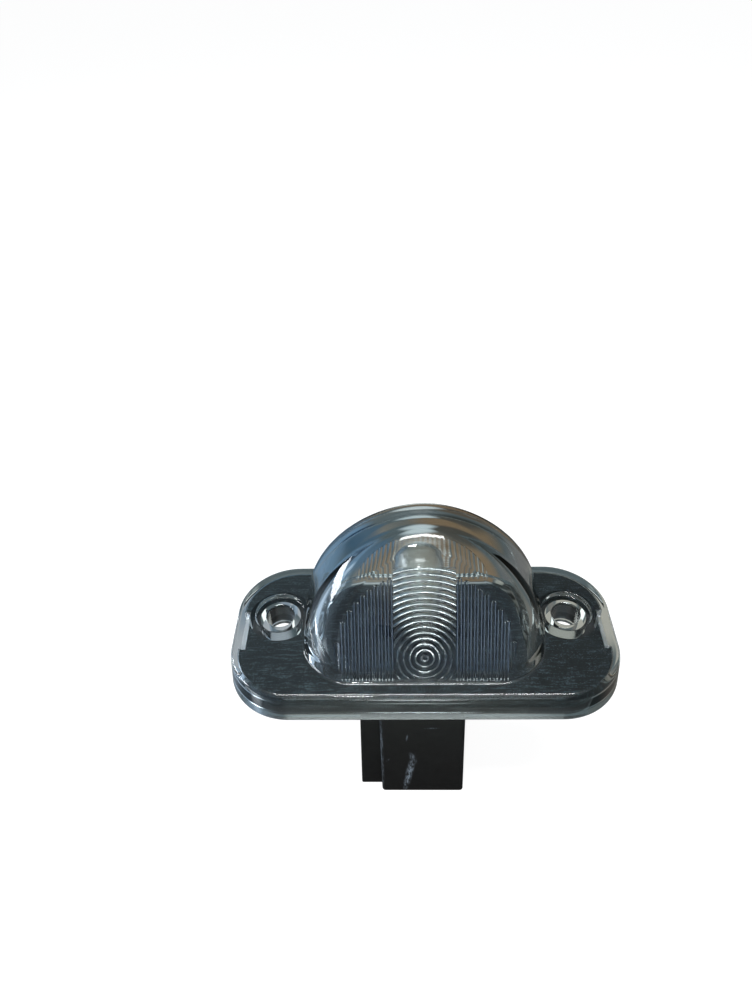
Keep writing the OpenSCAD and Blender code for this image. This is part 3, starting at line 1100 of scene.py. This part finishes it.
    def rib(self, x: float) -> Thing:
        """One upright half-round rib with a round upper end.

        Args:
            x: where its middle stands.

        Returns:
            The closed rib.
        """
        top = self.ring_centre + math.sqrt(self.rib_arch_r ** 2 - x * x)
        turns = quarter(6)[:-1]
        profile = [(1.0, -self.optics_foot)] + [(math.cos(t), top + self.rib_r * math.sin(t)) for t in turns]
        circle = [math.tau * i / self.rib_steps for i in range(self.rib_steps)]
        rings = [[self.on_front(x + self.rib_r * share * math.cos(a), up, self.rib_r * share * math.sin(a))
                  for a in circle] for share, up in profile]
        return stacked("rib", rings)

    def ribs(self) -> list[Thing]:
        """All ribs beside the rings.

        Returns:
            The ribs, left side first.
        """
        reach = math.sqrt(self.rib_arch_r ** 2 - self.ring_centre ** 2) - self.band_half
        count = int(reach / self.rib_pitch) + 1
        return [self.rib(side * (self.band_half + (k + 0.5) * self.rib_pitch)) for side in (-1, 1)
                for k in range(count)]

    def rear_relief(self) -> Thing:
        """Fine optics on the rear face: pillows in the middle band, upright ribs beside it.

        Returns:
            The closed pad.
        """
        flat_wide = self.dome_half_width - self.back_r
        flat_tall = self.dome_height - self.back_r
        half = flat_wide * self.rear_share[0]
        tall = flat_tall * self.rear_share[1]
        xs = np.linspace(-half, half, round(2 * half / self.rear_grid) + 1)
        ups = np.linspace(0, tall, round(tall / self.rear_grid) + 1)
        across, up = np.meshgrid(xs, ups)
        flat = (np.abs(across) / flat_wide) ** self.arch_power + (up / flat_tall) ** self.arch_power
        columns = np.abs(np.sin(np.pi * across / self.pillow_wide))
        rows = np.abs(np.sin(np.pi * up / self.pillow_tall))
        uprights = np.abs(np.sin(np.pi * (np.abs(across) - self.band_half) / self.rear_rib_pitch))
        waves = np.where(np.abs(across) < self.band_half, (columns + rows) / 2, uprights)
        height = np.where(flat < self.rear_flat, waves * self.rear_rise + self.rear_pad, self.rear_sunk)
        return relief("rear optics", xs, ups, height, self.relief_root, self.on_rear)

    def build(self, finish: Material) -> Thing:
        """Builds the whole moulding as one closed mesh and dresses it.

        Args:
            finish: the clear plastic.

        Returns:
            The lens.
        """
        lens = self.flange_slab()
        combine(lens, [self.dome_solid("dome", 0.0, self.overlap), self.blend_strip()], Cut.JOIN)
        hollow = self.dome_solid("hollow", self.dome_wall, self.top_wall + self.overlap, self.front_lean)
        combine(lens, [self.tray(), hollow], Cut.TAKE_AWAY)
        combine(lens, [self.boss(-1), self.boss(1), self.lug(-1), self.lug(1)], Cut.JOIN)
        combine(lens, [self.ring_relief(), *self.ribs(), self.rear_relief()], Cut.JOIN)
        combine(lens, [self.screw_cut(-1), self.screw_cut(1)], Cut.TAKE_AWAY)
        complete(lens, "clear_lens", self.crease_deg, finish)
        let_light_through(lens)
        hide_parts("lens")
        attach(lens, BODY)
        return lens


@dataclass
class BaseAndGasket:
    """The black plate and the gasket inside the skirt, kept as the part has them."""

    def build(self, plate: Material, gasket: Material, nodes: dict[str, Thing]) -> None:
        """Dresses both pieces."""
        dress(nodes["base_plate"], plate)
        dress(nodes["gasket"], gasket)


@dataclass
class BulbHolder:
    """The plug socket's box with its neck, and the two contact strips."""

    box_width: float = 18.7
    box_taper: float = 0.9
    box_front: float = 16.9
    box_back: float = 6.0
    box_depth: float = 36.3
    box_top: float = 2.1
    box_wall: float = 1.6
    box_edge_r: float = 0.8
    latch_width: float = 4.8
    latch_setback: float = 2.0
    latch_run: float = 11.0
    latch_wall: float = 1.1
    socket_depth: float = 21.0
    socket_run: float = 12.4
    neck_x: float = -0.8
    neck_width: float = 15.0
    neck_run: float = 9.0
    neck_height: float = 8.6
    hook_depth: float = 0.9
    hook_height: float = 2.2
    hook_width: float = 4.0
    hook_foot: float = 5.1
    slot_half_x: float = 4.75
    slot_half_y: float = 1.75
    slot_foot: float = -1.55
    strip_width: float = 2.8
    strip_thickness: float = 0.8
    strip_offset: float = 2.4
    strip_y: float = 2.0
    strip_gap: float = 0.05
    blade_y: float = -9.1
    crossing: float = -5.8
    edge: float = 0.3
    hollow_r: float = 0.3
    neck_r: float = 0.5
    slot_r: float = 0.1
    way_r: float = 0.05
    hook_root: float = 0.5
    past: float = 1.0
    crease_deg: float = 32.0

    @classmethod
    def from_frame(cls) -> BulbHolder:
        """Takes the box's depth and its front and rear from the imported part."""
        low, high = (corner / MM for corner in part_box("bulb_holder"))
        return cls(box_depth=-low.z, box_front=-low.y, box_back=high.y, neck_height=high.z)

    def mouth(self, depth_top: float) -> list[Pair]:
        """(inset, height) pairs of a hollow that is open at the box's foot, with a chamfered rim."""
        foot = -self.box_depth
        return [(-2 * self.edge, foot - self.edge), (-self.edge, foot), (0.0, foot + self.edge), (0.0, depth_top)]

    def outer(self) -> list[Thing]:
        """The box, the latch channel beside it and the neck.

        Returns:
            The box first, then what is joined to it.
        """
        half = self.box_width / 2
        latch_y = self.latch_setback - self.box_front
        left = -half - self.latch_width
        tall = soft_ends(-self.box_depth, self.box_top, self.edge, 0.0)
        tall.insert(-1, (0.0, 0.0))
        box = block("bulb_holder", (-half, -self.box_front, -self.box_depth), (half, self.box_back, self.box_top),
                    self.box_edge_r, tall, (0.0, self.box_taper))
        latch = block("latch", (left, latch_y, -self.box_depth),
                      (-half + self.box_edge_r, latch_y + self.latch_run, self.box_top), self.box_edge_r / 2, tall,
                      (self.box_taper, 0.0))
        neck = block("neck", (self.neck_x - self.neck_width / 2, -self.neck_run / 2, 0.0),
                     (self.neck_x + self.neck_width / 2, self.neck_run / 2, self.neck_height), self.neck_r,
                     soft_ends(0.0, self.neck_height, 0.0, self.edge))
        return [box, latch, neck, self.hook(-1), self.hook(1)]

    def hook(self, side: int) -> Thing:
        """One hook on the neck's side.

        Args:
            side: -1 for the left side, 1 for the right.

        Returns:
            The closed form.
        """
        wall = self.neck_x + side * self.neck_width / 2
        outline = [(-self.hook_root, 0.0), (self.hook_depth, 0.0), (self.hook_depth, self.hook_depth / 2),
                   (0.0, self.hook_height), (-self.hook_root, self.hook_height)]
        rings = [[(wall + side * x, y, self.hook_foot + z) for x, z in outline]
                 for y in (-self.hook_width / 2, self.hook_width / 2)]
        return stacked("hook", rings)

    def hollows(self) -> list[Thing]:
        """Everything that is open: plug hollow, latch channel, pocket, bulb slot and the strips' ways.

        Returns:
            The closed forms that are taken away.
        """
        half = self.box_width / 2
        latch_y = self.latch_setback - self.box_front
        foot = -self.box_depth
        top = foot + self.socket_depth
        right = half - self.box_wall - self.box_taper
        rear = -self.box_front + 2 * self.box_wall + self.socket_run
        cuts = [
            block("plug", (-half + self.box_wall, -self.box_front + self.box_wall, foot),
                  (right, -self.box_front + self.box_wall + self.socket_run, top), self.hollow_r, self.mouth(top)),
            block("latch way", (-half - self.latch_width + self.latch_wall, latch_y + self.latch_wall, foot),
                  (-half, latch_y + self.latch_run - self.latch_wall, top), self.hollow_r, self.mouth(top)),
            block("pocket", (-half + self.box_wall, rear, foot), (right, self.box_back - self.box_wall, top),
                  self.hollow_r, self.mouth(top)),
            block("slot", (self.neck_x - self.slot_half_x, -self.slot_half_y, self.slot_foot),
                  (self.neck_x + self.slot_half_x, self.slot_half_y, self.neck_height + self.past), self.slot_r,
                  [(0.0, self.slot_foot), (0.0, self.neck_height - self.edge), (-self.edge, self.neck_height),
                   (-self.edge, self.neck_height + self.past)]),
        ]
        for side in (-1, 1):
            cuts += self.strip_way(side)
        return cuts

    def strip_way(self, side: int) -> list[Thing]:
        """The room for one contact strip: leaf, crossing and blade.

        Args:
            side: -1 for the strip on the left, 1 for the one on the right.

        Returns:
            The closed forms that are taken away.
        """
        gap = self.strip_gap
        half = self.strip_width / 2 + gap
        thick = self.strip_thickness / 2 + gap
        x = self.neck_x + side * self.strip_offset
        leaf = side * self.strip_y
        low, high = min(leaf, self.blade_y) - thick, max(leaf, self.blade_y) + thick
        bottom = self.crossing - gap
        shelf = self.crossing + self.strip_thickness + gap
        socket_top = -self.box_depth + self.socket_depth
        spans = [((leaf - thick, leaf + thick), (bottom, self.neck_height + self.past / 2)),
                 ((low, high), (bottom, shelf)),
                 ((self.blade_y - thick, self.blade_y + thick), (socket_top - self.past, shelf))]
        return [block("strip way", (x - half, y0, z0), (x + half, y1, z1), self.way_r, [(0.0, z0), (0.0, z1)])
                for (y0, y1), (z0, z1) in spans]

    def build(self, plastic: Material, brass: Material, nodes: dict[str, Thing]) -> Thing:
        """Builds the holder with soft edges and dresses the two strips.

        Args:
            plastic: the holder's material.
            brass: the strips' material.
            nodes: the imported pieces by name.

        Returns:
            The holder.
        """
        holder, *rest = self.outer()
        combine(holder, rest, Cut.JOIN)
        combine(holder, self.hollows(), Cut.TAKE_AWAY)
        complete(holder, "socket_box", self.crease_deg, plastic)
        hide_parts("bulb_holder")
        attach(holder, BODY)
        for name in ("contact_front", "contact_back"):
            dress(nodes[name], brass)
        return holder


@dataclass
class WedgeBulb:
    """The clear bulb with its wires and filament."""

    axis_x: float = -0.8
    bulb_r: float = 5.0
    glass_wall: float = 0.6
    top: float = 25.9
    foot: float = -0.9
    neck: float = 8.6
    draw_height: float = 2.5
    draw_depth: float = 0.5
    wedge_width: float = 9.2
    wedge_thickness: float = 2.2
    wedge_power: float = 8.0
    wedge_edge: float = 0.4
    oval_power: float = 2.0
    pinch_below: float = 1.0
    pinch_above: float = 0.4
    pinch_steps: int = 8
    draw_steps: int = 6
    floor_bow: float = 2.0
    floor_degs: tuple[float, ...] = (1, 20, 35, 50, 65, 78, 90)
    top_steps: int = 24
    top_deg: float = 89.7
    coil_z: float = 16.3
    coil_half: float = 2.15
    coil_r: float = 0.36
    wire_r: float = 0.08
    turns: int = 9
    turn_steps: int = 24
    wire_steps: int = 8
    crease_deg: float = 50.0

    @classmethod
    def from_frame(cls) -> WedgeBulb:
        """Takes the bulb's top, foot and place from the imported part."""
        low, high = (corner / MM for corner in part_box("bulb_glass"))
        return cls(axis_x=(low.x + high.x) / 2, bulb_r=(high.x - low.x) / 2, top=high.z, foot=low.z)

    def ring(self, half_x: float, half_y: float, power: float, z: float, steps: int = 96) -> list[Point]:
        """One level of the glass: an oval at power 2, nearly a rectangle at a high power.

        Args:
            half_x: half its size across.
            half_y: half its size from front to rear.
            power: how square it is.
            z: its height.
            steps: how many points go round.

        Returns:
            The level's points.
        """
        points = []
        for i in range(steps):
            t = math.tau * i / steps
            c, s = math.cos(t), math.sin(t)
            reach = ((abs(c) / half_x) ** power + (abs(s) / half_y) ** power) ** (-1 / power)
            points.append((self.axis_x + reach * c, reach * s, z))
        return points

    def dome(self, radius: float) -> list[list[Point]]:
        """The round top, from its widest level up.

        Args:
            radius: its radius.

        Returns:
            Its levels.
        """
        centre = self.top - self.bulb_r
        turns = quarter(self.top_steps)[:-1] + [math.radians(self.top_deg)]
        return [self.ring(radius * math.cos(t), radius * math.cos(t), self.oval_power, centre + radius * math.sin(t))
                for t in turns]

    def shell(self) -> Thing:
        """The blown glass with its pinched base.

        Returns:
            The closed shell.
        """
        half_x, half_y = self.wedge_width / 2, self.wedge_thickness / 2
        rings = [self.ring(half_x - inset, half_y - inset, self.wedge_power, self.foot + self.wedge_edge - inset)
                 for inset in (self.wedge_edge, 0.0)]
        low_r = self.bulb_r - self.draw_depth
        run = self.pinch_below + self.pinch_above
        for i in range(self.pinch_steps + 1):
            share = (1 - math.cos(math.pi * i / self.pinch_steps)) / 2
            rings.append(self.ring(half_x + (low_r - half_x) * share, half_y + (low_r - half_y) * share,
                                   self.wedge_power + (self.oval_power - self.wedge_power) * share,
                                   self.neck - self.pinch_below + run * i / self.pinch_steps))
        for i, turn in enumerate(quarter(self.draw_steps)[1:], 1):
            radius = self.bulb_r - self.draw_depth * (1 - math.sin(turn))
            height = self.pinch_above + (self.draw_height - self.pinch_above) * i / self.draw_steps
            rings.append(self.ring(radius, radius, self.oval_power, self.neck + height))
        shell = stacked("bulb_glass", rings + self.dome(self.bulb_r))
        inner_r = self.bulb_r - self.glass_wall
        floor = self.neck + 2 * self.glass_wall
        inner = [self.ring(inner_r * math.sin(t), inner_r * math.sin(t), self.oval_power,
                           floor + self.floor_bow * (1 - math.cos(t))) for t in map(math.radians, self.floor_degs)]
        combine(shell, [stacked("hollow", inner + self.dome(inner_r))], Cut.TAKE_AWAY)
        return shell

    def coil(self) -> Thing:
        """The filament: a fine wire wound between the two posts.

        Returns:
            The closed wire.
        """
        count = self.turns * self.turn_steps
        rings = []
        for i in range(count + 1):
            t = math.tau * i / self.turn_steps
            x = self.axis_x - self.coil_half + 2 * self.coil_half * i / count
            ring = []
            for k in range(self.wire_steps):
                s = math.tau * k / self.wire_steps
                reach = self.coil_r + self.wire_r * math.cos(s)
                ring.append((x + self.wire_r * math.sin(s), reach * math.cos(t), self.coil_z + reach * math.sin(t)))
            rings.append(ring)
        return stacked("filament_coil", rings)

    def build(self, glass: Material, wire: Material, coil: Material, nodes: dict[str, Thing]) -> None:
        """Builds glass and filament and dresses all of the bulb's pieces.

        Args:
            glass: the shell's material.
            wire: the lead wires' material.
            coil: the filament's material.
            nodes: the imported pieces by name.
        """
        shell, filament = self.shell(), self.coil()
        complete(shell, "bulb_envelope", self.crease_deg, glass)
        complete(filament, "filament_coil", self.crease_deg, coil)
        for piece, node, slot in ((shell, "bulb_glass", "bulb_clear"), (filament, "filament", "filament_tungsten")):
            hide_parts(node)
            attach(piece, BODY)
        let_light_through(shell)
        for name in ("lead_wire_left", "lead_wire_right"):
            dress(nodes[name], wire)


@dataclass(frozen=True)
class Card:
    """One toned patch of the tent: where its middle lies, how far it reaches, and its linear colour."""

    azimuth_deg: float
    elevation_deg: float
    inner_deg: float
    outer_deg: float
    colour: Point

    def direction(self) -> Point:
        """The way to the card's middle. Azimuth 0 lies behind the lamp, 90 to its right.

        Returns:
            A direction of length 1.
        """
        azimuth, elevation = math.radians(self.azimuth_deg), math.radians(self.elevation_deg)
        return (math.sin(azimuth) * math.cos(elevation), math.cos(azimuth) * math.cos(elevation),
                math.sin(elevation))


@dataclass(frozen=True)
class SoftBox:
    """One soft lamp: its name, its place in metres, its width and height in metres, its watts and its sRGB colour."""

    name: str
    place: Point
    size: Pair
    power: float
    colour: str

    def hang(self, target: Point) -> Thing:
        """Adds the lamp, turned towards a point.

        Args:
            target: the point, in metres.

        Returns:
            The lamp, which no ray sees through a clear piece.
        """
        data = bpy.data.lights.new(self.name, "AREA")
        data.shape = "RECTANGLE"
        data.size, data.size_y = self.size
        data.energy = self.power
        data.color = linear(self.colour)[:3]
        light = linked(self.name, data)
        light.visible_transmission = False
        light.location = self.place
        light.rotation_mode = "QUATERNION"
        light.rotation_quaternion = (Vector(target) - Vector(self.place)).to_track_quat("-Z", "Y")
        return light


@dataclass
class Studio:
    """Pale floor, soft lamps, the tent that the clear pieces mirror, and the camera."""

    camera_mm: Point = (-4.49, -106.17, 129.06)
    down_deg: float = 40.48
    yaw_deg: float = -2.39
    roll_deg: float = -2.22
    lens_mm: float = 27.07
    sensor_mm: float = 36.0
    clip_m: float = 0.001
    floor_half: float = 3.0
    tent_r: float = 0.8
    tent_tone: Point = (0.1, 0.125, 0.13)
    cards: tuple[Card, ...] = (
        Card(180, 80, 14, 30, (0.7, 0.76, 0.74)),
        Card(180, 55, 8, 16, (1.8, 1.95, 1.9)),
        Card(-110, 16, 26, 55, (0.28, 0.38, 0.49)),
        Card(-80, -12, 10, 24, (0.5, 0.62, 0.76)),
        Card(-117, -17, 5, 11, (2.6, 2.9, 3.2)),
        Card(180, 30, 12, 24, (0.3, 0.33, 0.33)),
        Card(150, 3, 12, 24, (0.02, 0.03, 0.05)),
        Card(-150, 3, 12, 24, (0.02, 0.03, 0.06)),
        Card(180, 3, 6, 12, (0.02, 0.035, 0.07)),
        Card(167, 4, 2, 5, (0.3, 0.4, 0.54)),
        Card(-167, 4, 2, 5, (0.4, 0.52, 0.7)),
        Card(180, -34, 14, 30, (0.22, 0.25, 0.23)),
        Card(180, -18, 4, 11, (7.5, 8.2, 8.1)),
        Card(180, -65, 14, 26, (0.12, 0.12, 0.12)),
        Card(90, -16, 10, 24, (0.2, 0.19, 0.17)),
        Card(90, 20, 20, 40, (0.14, 0.14, 0.12)),
        Card(40, 22, 16, 36, (0.03, 0.035, 0.032)),
        Card(0, 34, 6, 12, (0.5, 0.52, 0.5)),
        Card(-62, -34, 8, 16, (0.42, 0.44, 0.46)),
        Card(46, -20, 8, 16, (0.16, 0.16, 0.155)),
        Card(-54, -20, 8, 16, (0.2, 0.26, 0.32)),
        Card(52, -34, 8, 16, (0.45, 0.43, 0.37)),
        Card(-34, -14, 8, 18, (0.16, 0.27, 0.39)),
        Card(-10, -36, 7, 14, (0.28, 0.235, 0.18)),
        Card(14, -30, 8, 18, (0.26, 0.17, 0.095)),
        Card(14, -14, 6, 12, (0.08, 0.07, 0.055)),
        Card(-17, -22, 4, 9, (0.07, 0.13, 0.19)),
        Card(0, -14, 4, 9, (0.65, 0.71, 0.71)),
        Card(0, -62, 14, 24, (1.3, 1.37, 1.3)),
        Card(180, 13, 3, 7, (0.5, 0.55, 0.55)),
        Card(-38, 4, 6, 14, (0.016, 0.04, 0.075)),
        Card(-17, 52, 8, 20, (0.07, 0.1, 0.12)),
        Card(17, 52, 8, 20, (0.03, 0.035, 0.034)),
        Card(-78, 19, 5, 9, (3.2, 3.6, 3.9)),
        Card(-104, 19, 5, 9, (2.6, 3.0, 3.2)),
    )
    lit_point: Point = (0.0, 0.0, 0.01)
    lamps: tuple[SoftBox, ...] = (
        SoftBox("window", (-0.47, 0.0, 0.17), (0.42, 0.1), 2.0, "f4f8ff"),
        SoftBox("ceiling panel", (0.0, -0.12, 0.58), (0.4, 0.1), 2.2, "ffffff"),
        SoftBox("small lamp", (-0.04, -0.3, 0.31), (0.03, 0.03), 0.26, "ffffff"),
    )
    floor_colour: str = "e9eaea"
    floor_glow: float = 1.32
    glow_share: float = 0.7
    tent_gap: float = 0.0002
    tent_detail: int = 4
    light_colour: Point = (0.82, 0.86, 0.9)
    light_level: float = 0.25

    def camera(self) -> Thing:
        """Sets the camera where the photograph was taken from.

        Returns:
            The camera.
        """
        down, yaw, roll = (math.radians(a) for a in (self.down_deg, self.yaw_deg, self.roll_deg))
        forward = Vector((math.sin(yaw) * math.cos(down), math.cos(yaw) * math.cos(down), -math.sin(down)))
        right = Vector((math.cos(yaw), -math.sin(yaw), 0))
        up = right.cross(forward)
        turned_right = right * math.cos(roll) + up * math.sin(roll)
        turned_up = up * math.cos(roll) - right * math.sin(roll)
        data = bpy.data.cameras.new("camera")
        data.lens = self.lens_mm
        data.sensor_width = self.sensor_mm
        data.clip_start = self.clip_m
        camera = linked("camera", data)
        columns = Matrix((turned_right, turned_up, -forward)).transposed()
        camera.matrix_world = Matrix.Translation(Vector(self.camera_mm) * MM) @ columns.to_4x4()
        bpy.context.scene.camera = camera
        return camera

    def floor(self, height: float) -> Thing:
        """Lays the pale floor under the part.

        Args:
            height: the floor's height, in metres.

        Returns:
            The floor.
        """
        half = self.floor_half
        corners = [(-half, -half, height), (half, -half, height), (half, half, height), (-half, half, height)]
        floor = mesh_object("floor", corners, [(0, 1, 2, 3)])
        material = new_material("pale studio floor")
        tree = material.node_tree
        path = add_node(tree, "LightPath")
        matt = add_node(tree, "BsdfDiffuse", {"Color": linear(self.floor_colour)})
        glow = add_node(tree, "Emission", {"Color": (1, 1, 1, 1), "Strength": self.floor_glow})
        share = add_node(tree, "Math", {"operation": "MULTIPLY", 1: self.glow_share},
                         {0: path.outputs["Is Camera Ray"]})
        mixed = add_node(tree, "MixShader", None,
                         {0: share.outputs["Value"], 1: matt.outputs["BSDF"], 2: glow.outputs["Emission"]})
        add_node(tree, "OutputMaterial", None, {"Surface": mixed.outputs["Shader"]})
        dress(floor, material)
        return floor

    def tent(self, height: float) -> Thing:
        """Hangs the toned tent that only reflections and clear pieces see.

        Args:
            height: the floor's height, in metres.

        Returns:
            The tent.
        """
        mesh = bpy.data.meshes.new("tent")
        with editing(mesh) as draft:
            bmesh.ops.create_icosphere(draft, subdivisions=self.tent_detail, radius=self.tent_r)
            cut = bmesh.ops.bisect_plane(draft, geom=draft.verts[:] + draft.edges[:] + draft.faces[:],
                                         plane_co=(0, 0, height + self.tent_gap), plane_no=(0, 0, 1),
                                         clear_inner=True)
            rim = [e for e in cut["geom_cut"] if isinstance(e, bmesh.types.BMEdge)]
            bmesh.ops.contextual_create(draft, geom=rim)
        tent = linked("tent", mesh)
        material = new_material("toned tent cloth")
        tree = material.node_tree
        place = add_node(tree, "TexCoord")
        way = add_node(tree, "VectorMath", {"operation": "NORMALIZE"}, {0: place.outputs["Object"]})
        tone = add_node(tree, "RGB").outputs["Color"]
        tone.default_value = (*self.tent_tone, 1.0)
        for card in self.cards:
            near = add_node(tree, "VectorMath", {"operation": "DOT_PRODUCT", 1: card.direction()},
                            {0: way.outputs["Vector"]})
            mask = add_node(tree, "MapRange",
                            {"interpolation_type": "SMOOTHSTEP", "From Min": math.cos(math.radians(card.outer_deg)),
                             "From Max": math.cos(math.radians(card.inner_deg))}, {"Value": near.outputs["Value"]})
            tone = add_node(tree, "Mix", {"data_type": "RGBA", 7: (*card.colour, 1.0)},
                            {0: mask.outputs["Result"], 6: tone}).outputs[2]
        glow = add_node(tree, "Emission", None, {"Color": tone})
        add_node(tree, "OutputMaterial", None, {"Surface": glow.outputs["Emission"]})
        dress(tent, material)
        tent.visible_camera = False
        tent.visible_diffuse = False
        tent.visible_shadow = False
        return tent

    def world(self) -> None:
        """White to the eye and in what is clear or shiny, a plain grey level for the light itself."""
        world = bpy.data.worlds.new("studio")
        bpy.context.scene.world = world
        world.use_nodes = True
        tree = world.node_tree
        tree.nodes.clear()
        path = add_node(tree, "LightPath")
        either = add_node(tree, "Math", {"operation": "MAXIMUM"},
                          {0: path.outputs["Is Camera Ray"], 1: path.outputs["Is Glossy Ray"]})
        seen = add_node(tree, "Math", {"operation": "MAXIMUM"},
                        {0: either.outputs["Value"], 1: path.outputs["Is Transmission Ray"]})
        level = add_node(tree, "Background", {"Color": (*self.light_colour, 1), "Strength": self.light_level})
        white = add_node(tree, "Background", {"Color": (1, 1, 1, 1), "Strength": 1.0})
        mixed = add_node(tree, "MixShader", None,
                         {0: seen.outputs["Value"], 1: level.outputs["Background"], 2: white.outputs["Background"]})
        add_node(tree, "OutputWorld", None, {"Surface": mixed.outputs["Shader"]})

    def build(self, height: float) -> None:
        """Sets the whole studio up round the part.

        Args:
            height: the floor's height, in metres.
        """
        self.camera()
        self.floor(height)
        self.tent(height)
        self.world()
        for lamp in self.lamps:
            lamp.hang(self.lit_point)


def main() -> None:
    """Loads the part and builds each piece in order."""
    logging.basicConfig(level=logging.INFO, format="%(name)s: %(message)s")
    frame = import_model()
    nodes = frame["nodes"]
    bpy.context.scene.view_settings.view_transform = "Standard"
    lens = Lens.from_frame().build(ClearPolycarbonate().make())
    LOG.info("lens: %d faces", len(lens.data.polygons))
    BaseAndGasket().build(GrainedPolyamide().make(), MouldedRubber().make(), nodes)
    LOG.info("base plate and gasket dressed")
    brass = BareMetal("brass, stamped", body="c8a45c", roughness=0.3, line_mm=0.3)
    BulbHolder.from_frame().build(ScuffedPolyamide().make(), brass.make(), nodes)
    LOG.info("bulb holder and contacts dressed")
    wire = BareMetal("nickel wire, drawn", body="b7b2a8", roughness=0.25, line_mm=0.1)
    coil = BareMetal("tungsten wire, coiled", body="6e6d70", roughness=0.4, line_mm=0.05)
    WedgeBulb.from_frame().build(BlownGlass().make(), wire.make(), coil.make(), nodes)
    LOG.info("bulb dressed")
    Studio().build(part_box("bulb_holder")[0].z)
    LOG.info("studio set up")


if __name__ == "__main__":
    main()
